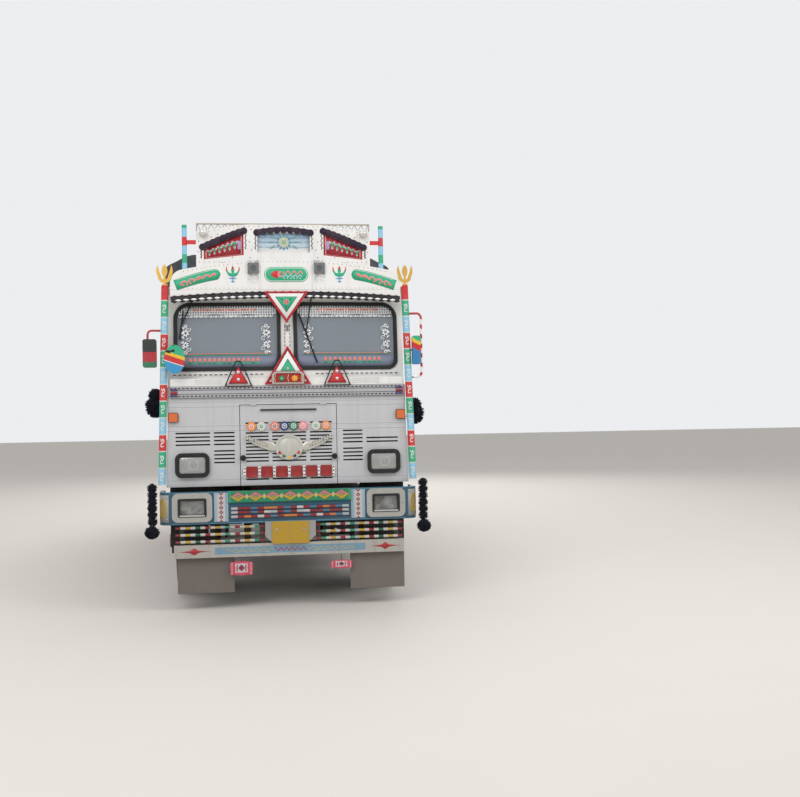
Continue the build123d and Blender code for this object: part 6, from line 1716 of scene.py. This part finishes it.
tarpLook = {
    "half": 1.238,
    "hem": 2.712,
    "edge": 3.444,
    "shoulder": 0.944,
    "shoulderTop": 3.584,
    "crown": 3.622,
    "front": -2.083,
    "back": 4.096,
    "backHem": 3.312,
    "thick": 0.0030,
    "bows": 6,
}


# Cover: one sheet over the bows. Across, it follows a rounded arch by its own length; along, it
# drops at both ends. Between bows it sags by a squared sine, and its sides hang in growing folds
def makeTarpaulin():
    look = tarpLook
    half, hem, edge = look["half"], look["hem"], look["edge"]
    side = [(-half, hem), (-half, 3.00), (-half, 3.28), (-half, 3.40), (-half + 0.020, edge + 0.008),
            (-1.130, edge + 0.060), (-look["shoulder"], look["shoulderTop"]), (-0.5, 3.609)]
    arch = side + [(0, look["crown"])] + [(-a, b) for a, b in reversed(side)]
    arch = smoothPath([(a, b, 0) for a, b in arch], 600)
    run = np.concatenate([[0], np.cumsum(np.linalg.norm(np.diff(arch, axis=0), axis=1))])
    columns = np.linspace(0, run[-1], 150)
    ax, az = np.interp(columns, run, arch[:, 0]), np.interp(columns, run, arch[:, 1])
    ax = np.clip(ax, -half, half)
    y = np.linspace(look["front"], look["back"], 250)
    x, yy, z = (np.array(grid) for grid in np.broadcast_arrays(ax, y[:, None], az))
    across = np.broadcast_to(columns - run[-1] / 2, x.shape)
    onTop = np.clip((az - 3.44) / 0.12, 0, 1)
    pitch = (look["back"] - look["front"]) / (look["bows"] - 1)
    between = np.sin(pi * (yy - look["front"]) / pitch) ** 2
    fold = creases(across * 1.4, yy * 1.4, 5, 11)
    fine = creases(across * 3.0, yy * 3.0, 8, 10, 4.0, 14.0)
    z -= onTop * (0.020 * between)
    z += onTop * (0.046 * fold + 0.020 * fine - 0.022)
    # the sides stand off by their folds, more towards the hem
    hang = np.clip((3.42 - az) / 0.70, 0, 1)
    away = 0.020 * fold + 0.012 * fine + hang * 0.016 * (0.5 + 0.5 * np.sin(
        yy * 11.0 + 2.2 * np.sin(yy * 2.3) + 1.5 * np.sin(az * 5)))
    away *= np.clip((3.46 - az) / 0.05, 0, 1)
    x += np.sign(ax) * away
    z -= hang * hang * 0.016 * np.sin(yy * 4.1 + np.sign(ax)) * np.sin(yy * 1.3) ** 2
    # the flaps hang from both ends to their own hems, in a wave that grows downwards
    lows = (hem + 0.02, look["backHem"])
    endFront, endBack = [], []
    top = np.clip((az - 3.40) / 0.04, 0, 1)
    for t in np.linspace(0, 1, 14)[1:]:
        wave = top * (0.010 * t * (1 + np.sin(ax * 13 + 2 * np.sin(ax * 3))))
        for rows, i, low, way in ((endFront, 0, lows[0], -1), (endBack, -1, lows[1], 0.4)):
            rows.append(np.stack([x[i], yy[i] + way * wave, z[i] + (low - z[i]) * t * top], -1))
    grid = np.concatenate([np.stack(endFront[::-1]), np.stack([x, yy, z], -1), np.stack(endBack)], 0)
    pile = Pile().add(clothShell(grid, look["thick"]))
    piece = pile.make("cover_sheet", tarpFinish(), smooth=60, closed=False)
    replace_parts(piece, "tarpaulin")
    # the cut: the arch's length by the length along the bows, and two end flaps below the arch
    long = look["back"] - look["front"]
    flaps = sum(float((np.diff(ax) * ((az[1:] + az[:-1]) / 2 - low)).sum()) for low in lows)
    drops = sum(look["crown"] - low for low in lows)
    long + drops
    # the hem's rope, laid along both sides just above the edge
    rope = Pile()
    for _, s in sideWays:
        line = grid[14:-14, 4 if s < 0 else -5][::4] + np.array([s * 0.005, 0.0, 0.0])
        rope.add(tube(line, 0.0045, 8), (0.40, 0.34, 0.24))
    rope.make("cover_rope", yarnFinish())


def tagCloth():
    bench = Bench("tag cloth", Sheen_Weight=0.3)
    weave = (bench.x * 900.0).wrap(1.0).over(0.5) * 0.5 + (bench.z * 900.0).wrap(1.0).over(0.5) * 0.5
    colour = bench.blend(bench.noise(30.0, 4.0) * 0.35, bench.tint(), (0.30, 0.10, 0.13))
    return bench.finish(colour, 0.85, weave, 0.25, 0.0004)


# Tags: small cloths that hang from a string, pulled into folds that spread from the knot
def makeTags():
    cloth = tagCloth()
    cord = Pile()
    knotY = bumperFace + 0.024
    for name, (x0, x1, z0, z1) in (("tag_left", (-0.563, -0.354, 0.321, 0.453)),
                                   ("tag_right", (0.372, 0.573, 0.352, 0.434))):
        u, v = np.meshgrid(np.linspace(0, 1, 64), np.linspace(0, 1, 40))
        middle = (x0 + x1) / 2
        x = x0 + (x1 - x0) * u + 0.004 * np.sin(v * 7 + u * 3) * (1 - v)
        # the top edge droops from the knot to both corners
        sag = (0.016 * np.abs(2 * u - 1) ** 1.4) * v
        z = z0 + (z1 - z0) * v - sag + 0.004 * np.sin(u * 9) * (1 - v)
        ray = np.arctan2(x - middle, 0.10 + z1 - z)
        y = knotY + 0.0055 * np.sin(ray * 13) * (1.15 - v) + 0.002 * np.sin(u * 21 + v * 9)
        grid = np.stack([x, y, z], -1)
        shell = clothShell(grid, 0.0012)
        a = (shell[..., 0] - middle) / (x1 - x0)
        b = (shell[..., 2] - (z0 + z1) / 2) / (z1 - z0)
        tint = np.broadcast_to(np.array([0.60, 0.075, 0.13]), shell.shape).copy()
        # its print: a pale block with a lozenge and two bars, and a pale line by both ends
        a, b = np.abs(a), np.abs(b)
        for area, colour in (((a < 0.27) & (b < 0.32), (0.62, 0.52, 0.52)),
                             ((a + 0.6 * b < 0.15) | ((np.abs(a - 0.19) < 0.025) & (b < 0.22)),
                              (0.20, 0.03, 0.06)),
                             (np.abs(a - 0.42) < 0.018, (0.62, 0.42, 0.40))):
            tint[area] = colour
        pile = Pile().add(shell[None], tint.reshape(1, -1, 3))
        piece = pile.make(name, cloth, smooth=60, closed=False)
        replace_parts(piece, "cloth_tags")
        t = np.linspace(0, 1, 24)
        twist = 0.0016
        for phase in (0.0, pi):
            cord.add(tube(np.stack([middle + twist * np.cos(t * 30 + phase),
                                    knotY + twist * np.sin(t * 30 + phase),
                                    z1 - 0.006 + (0.490 - z1 + 0.006) * t], -1), 0.0018, 6), "string")
        cord.add(np.array([middle, knotY, z1 - 0.003]) + 0.006 * sphere(12, 7), "string")
    cord.make("tag_strings", yarnFinish())


# Seats: each pad is blown up by the cloth solver from a slightly small box, then sewn in channels
seatLook = {
    "pads": (
        ("seat_pad_left", (-0.915, -0.415), (-3.225, -2.745), (1.482, 1.590), 2, 0.010, 2.0),
        ("seat_pad_right", (0.415, 0.915), (-3.225, -2.745), (1.482, 1.590), 2, 0.010, 2.0),
        ("seat_back_left", (-0.905, -0.425), (-2.740, -2.625), (1.500, 2.170), 1, 0.011, 0.8),
        ("seat_back_right", (0.425, 0.905), (-2.740, -2.625), (1.500, 2.170), 1, 0.011, 0.8),
        ("bench_pad", (-1.035, 1.035), (-2.553, -2.243), (1.502, 1.600), 2, 0.016, 0.8),
    ),
    "inset": 0.016,
    "most": 0.022,
    "frames": 20,
    "channelPitch": 0.070,
    "channelDeep": 0.007,
}


# Oxblood vinyl, worn pale in patches, with a fine grain
def seatLeather():
    bench = Bench("seat vinyl", Coat_Weight=0.12, Coat_Roughness=0.4)
    wear = bench.noise(7.0, 4.0).ease(0.50, 0.75)
    colour = bench.blend(wear * 0.5, (0.120, 0.020, 0.020), (0.22, 0.075, 0.060))
    rough = wear * 0.15 + 0.42
    return bench.finish(colour, rough, bench.cells(420.0), 0.35, 0.0006)


def meshPoints(mesh):
    points = np.empty(len(mesh.vertices) * 3)
    mesh.vertices.foreach_get("co", points)
    return points.reshape(-1, 3)


# Puts what a piece's modifiers make of it into its own mesh
def settle(piece, name):
    bpy.context.view_layer.update()
    graph = bpy.context.evaluated_depsgraph_get()
    mesh = bpy.data.meshes.new_from_object(piece.evaluated_get(graph))
    piece.modifiers.clear()
    piece.data = mesh
    mesh.name = name
    return mesh


# A box with bevelled edges between two corners, remeshed in even voxels
def roundBox(name, low, high, voxel):
    shape = bmesh.new()
    bmesh.ops.create_cube(shape, size=1.0)
    for vertex in shape.verts:
        vertex.co = [(low[i] + high[i]) / 2 + vertex.co[i] * (high[i] - low[i]) for i in range(3)]
    bmesh.ops.bevel(shape, geom=shape.edges[:] + shape.verts[:], offset=0.024, segments=3,
                    affect="EDGES", profile=0.5)
    mesh = bpy.data.meshes.new(name)
    shape.to_mesh(mesh)
    shape.free()
    piece = bpy.data.objects.new(name, mesh)
    bpy.context.scene.collection.objects.link(piece)
    remesh = piece.modifiers.new("voxels", "REMESH")
    remesh.mode = "VOXEL"
    remesh.voxel_size = voxel
    settle(piece, name)
    return piece


# The cloth solver's answer: pressure from inside, while the points of the base are held
def blown(piece, held, push):
    group = piece.vertex_groups.new(name="rest")
    group.add([int(i) for i in np.nonzero(held)[0]], 1.0, "REPLACE")
    cloth = piece.modifiers.new("cloth", "CLOTH")
    cloth.settings.use_pressure = True
    cloth.settings.uniform_pressure_force = push
    cloth.settings.effector_weights.gravity = 0.0
    cloth.settings.vertex_group_mass = "rest"
    cloth.settings.quality = 5
    cloth.point_cache.frame_start = 1
    cloth.point_cache.frame_end = seatLook["frames"]
    for step in range(1, seatLook["frames"] + 1):
        bpy.context.scene.frame_set(step)
    points = meshPoints(piece.evaluated_get(bpy.context.evaluated_depsgraph_get()).data)
    piece.modifiers.clear()
    piece.vertex_groups.clear()
    bpy.context.scene.frame_set(1)
    return points


# Sewn channels: narrow valleys, each a bell curve of the distance from its stitch line
def sewn(points, xs, ys, zs, face):
    middle, pitch = (xs[0] + xs[1]) / 2, seatLook["channelPitch"]
    along = (points[:, 0] - middle) / pitch
    off = (along - np.round(along)) * pitch
    inner = np.clip((0.5 * (xs[1] - xs[0]) - 0.060 - np.abs(points[:, 0] - middle)) / 0.01, 0, 1)
    if face == 2:
        border = np.minimum(points[:, 1] - ys[0], ys[1] - points[:, 1]) - 0.050
        top = np.clip((points[:, 2] - (zs[0] + zs[1]) / 2) / 0.02, 0, 1)
    else:
        border = np.minimum(points[:, 2] - zs[0], zs[1] - points[:, 2]) - 0.060
        top = np.clip(((ys[0] + ys[1]) / 2 - points[:, 1]) / 0.02, 0, 1)
    valley = np.exp(-(off / 0.0075) ** 2) * inner * np.clip(border / 0.01, 0, 1)
    rim = np.exp(-(np.minimum(border, inner * 9) / 0.008) ** 2) * inner
    sign = -1.0 if face == 2 else 1.0
    points[:, face] += sign * seatLook["channelDeep"] * top * np.maximum(valley, rim * 0.8)
    return points


# One pad: face is the axis that its sewn side looks along
def padded(name, xs, ys, zs, face, voxel, push, vinyl):
    low, high = (np.array([xs[i], ys[i], zs[i]]) + way * seatLook["inset"]
                 for i, way in ((0, 1), (1, -1)))
    piece = roundBox(name, low, high, voxel)
    start = meshPoints(piece.data)
    base = low[2] if face == 2 else high[1]
    points = blown(piece, np.abs(start[:, face] - base) < 0.003, push)
    # the cap: no point travels past the limit, nor past the space that the solid holds
    move = points - start
    size = np.linalg.norm(move, axis=1, keepdims=True)
    points = start + move * np.minimum(1.0, seatLook["most"] / np.maximum(size, 1e-9))
    points = np.clip(points, [xs[0] + 0.001, ys[0] + 0.001, zs[0] + 0.001],
                     [xs[1] - 0.001, ys[1] - 0.001, zs[1] + 0.004])
    piece.data.vertices.foreach_set("co", points.ravel())
    finer = piece.modifiers.new("finer", "SUBSURF")
    finer.levels = finer.render_levels = 1
    smooth = settle(piece, name)
    smooth.vertices.foreach_set("co", sewn(meshPoints(smooth), xs, ys, zs, face).ravel())
    smooth.polygons.foreach_set("use_smooth", np.ones(len(smooth.polygons), bool))
    smooth.materials.clear()
    smooth.materials.append(vinyl)
    smooth.update()
    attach(piece, "truck")
    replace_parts(piece, "seat_cushions")


def makeSeats():
    vinyl = seatLeather()
    for name, xs, ys, zs, face, voxel, push in seatLook["pads"]:
        padded(name, xs, ys, zs, face, voxel, push, vinyl)


makeTyres()
print("stage: tyres and wheel nuts made")
makeTassels()
makeTags()
print("stage: yarn and tags made")
makeTarpaulin()
print("stage: cover laid")
makeSeats()
print("stage: seats padded")


# Cab and body details: window rubbers, handles, gutters, bolts on the posts, rope hooks, latches
doorLook = {
    "glass": (-3.325, 0.690, 2.402, 0.644),  # middle and length, middle and height
    "rearGlass": (-2.547, 0.484, 2.440, 0.640),
    "face": 1.1205,
    "handle": (-2.985, 1.905),
}


def makeCabDetails():
    for side, s in sideWays:
        door, shell = Pile(), Pile()
        place = sideAt(doorLook["face"], s)
        # rubbers round the door's window and the rear side window, each over its opening's edge
        for pile, window, lift in ((door, "glass", -0.004), (shell, "rearGlass", 0.0003)):
            y, long, z, tall = doorLook[window]
            outer = roundRect(long + 0.030, tall + 0.030, 0.060, 7)
            inner = roundRect(long - 0.022, tall - 0.022, 0.045, 7)
            pile.add(rimFrame(place, outer, inner, (y, z), 0.006, lift, 0.0025), (0.015, 0.015, 0.016))
        # pull handle: a cup plate, a grip that stands off it on two feet, and the lock beside it
        hy, hz = doorLook["handle"]
        door.add(slab(place, *moved(hy, hz, roundRect(0.165, 0.060, 0.018, 5)), 0.0035, 0.0003, 0.0015),
                 (0.10, 0.10, 0.105))
        half = [(0.062, 0.003), (0.060, 0.016), (0.046, 0.026)]
        grip = [(-a, out) for a, out in half] + [(0.0, 0.029)] + half[::-1]
        grip = smoothPath([(hy + a, out, hz) for a, out in grip], 40)
        bar = np.stack([s * (doorLook["face"] + grip[:, 1]), grip[:, 0], grip[:, 2]], -1)
        door.add(tube(bar, 0.0075, 10), (0.34, 0.34, 0.35))
        door.add(discs(place, hy + 0.002, hz - 0.055, 0.011, 0.005, 0.0003, 18, 0.002),
                 (0.40, 0.40, 0.41))
        door.add(boxes(place, hy + 0.002, hz - 0.055, 0.0022, 0.010, 0.0060, 0.004), (0.03, 0.03, 0.03))
        door.make("door_trim_" + side, blackRubber, body="door_" + side + "_body", smooth=40)
        # rain gutter over the door
        shell.add(ribbon(place, np.linspace(-3.80, -2.28, 30), 2.868, 0.014, 0.013, 0.0003),
                  (0.52, 0.52, 0.52))
        shell.make("cab_trim_" + side, signPaint, smooth=40)


def makeBodyDetails():
    heads, hooks = Pile(), Pile()
    posts = wallEnds[0] + postHalf + postPitch * np.arange(9)
    line = np.array([(0.000, 0.035), (0.014, 0.030), (0.024, 0.012), (0.024, -0.012),
                     (0.012, -0.026), (0.004, -0.020)])
    bend = smoothPath(line, 26)
    for _, s in sideWays:
        for up in np.arange(1.35, 3.26, 0.19):
            bolts(heads, sideAt(1.233, s), posts, up, 0.010, 0.0002, 0.006, (0.20, 0.16, 0.13))
        # hooks for the cover's rope: a bent rod under the top rail beside every post
        for y in posts[:-1] + 0.5 * postPitch:
            path = np.stack([s * (1.219 + bend[:, 0]), y + 0 * bend[:, 0], 1.235 + bend[:, 1]], -1)
            hooks.add(tube(path, 0.0055, 8), (0.10, 0.09, 0.085))
    steel = castIron("body steel", (0.13, 0.11, 0.10))
    heads.make("post_bolts", steel, smooth=40)
    hooks.make("rope_hooks", steel, smooth=50)
    # the tail: bolted latch bars over the leaves' meeting edge
    latch = Pile()
    place = rearAt(4.1625)
    for z in (2.45, 2.95):
        a, b = roundRect(0.30, 0.034, 0.010, 4)
        latch.add(slab(place, a * 0.48 - 0.085, z + b, 0.008, 0.0004, 0.002), (0.12, 0.11, 0.10))
        bolts(latch, place, [-0.145, -0.03], z, 0.008, 0.008, 0.005, (0.30, 0.28, 0.26))
    latch.make("leaf_latches", steel, body="rear_leaf_left_body", smooth=40)


makeCabDetails()
makeBodyDetails()
print("stage: cab and body details made")
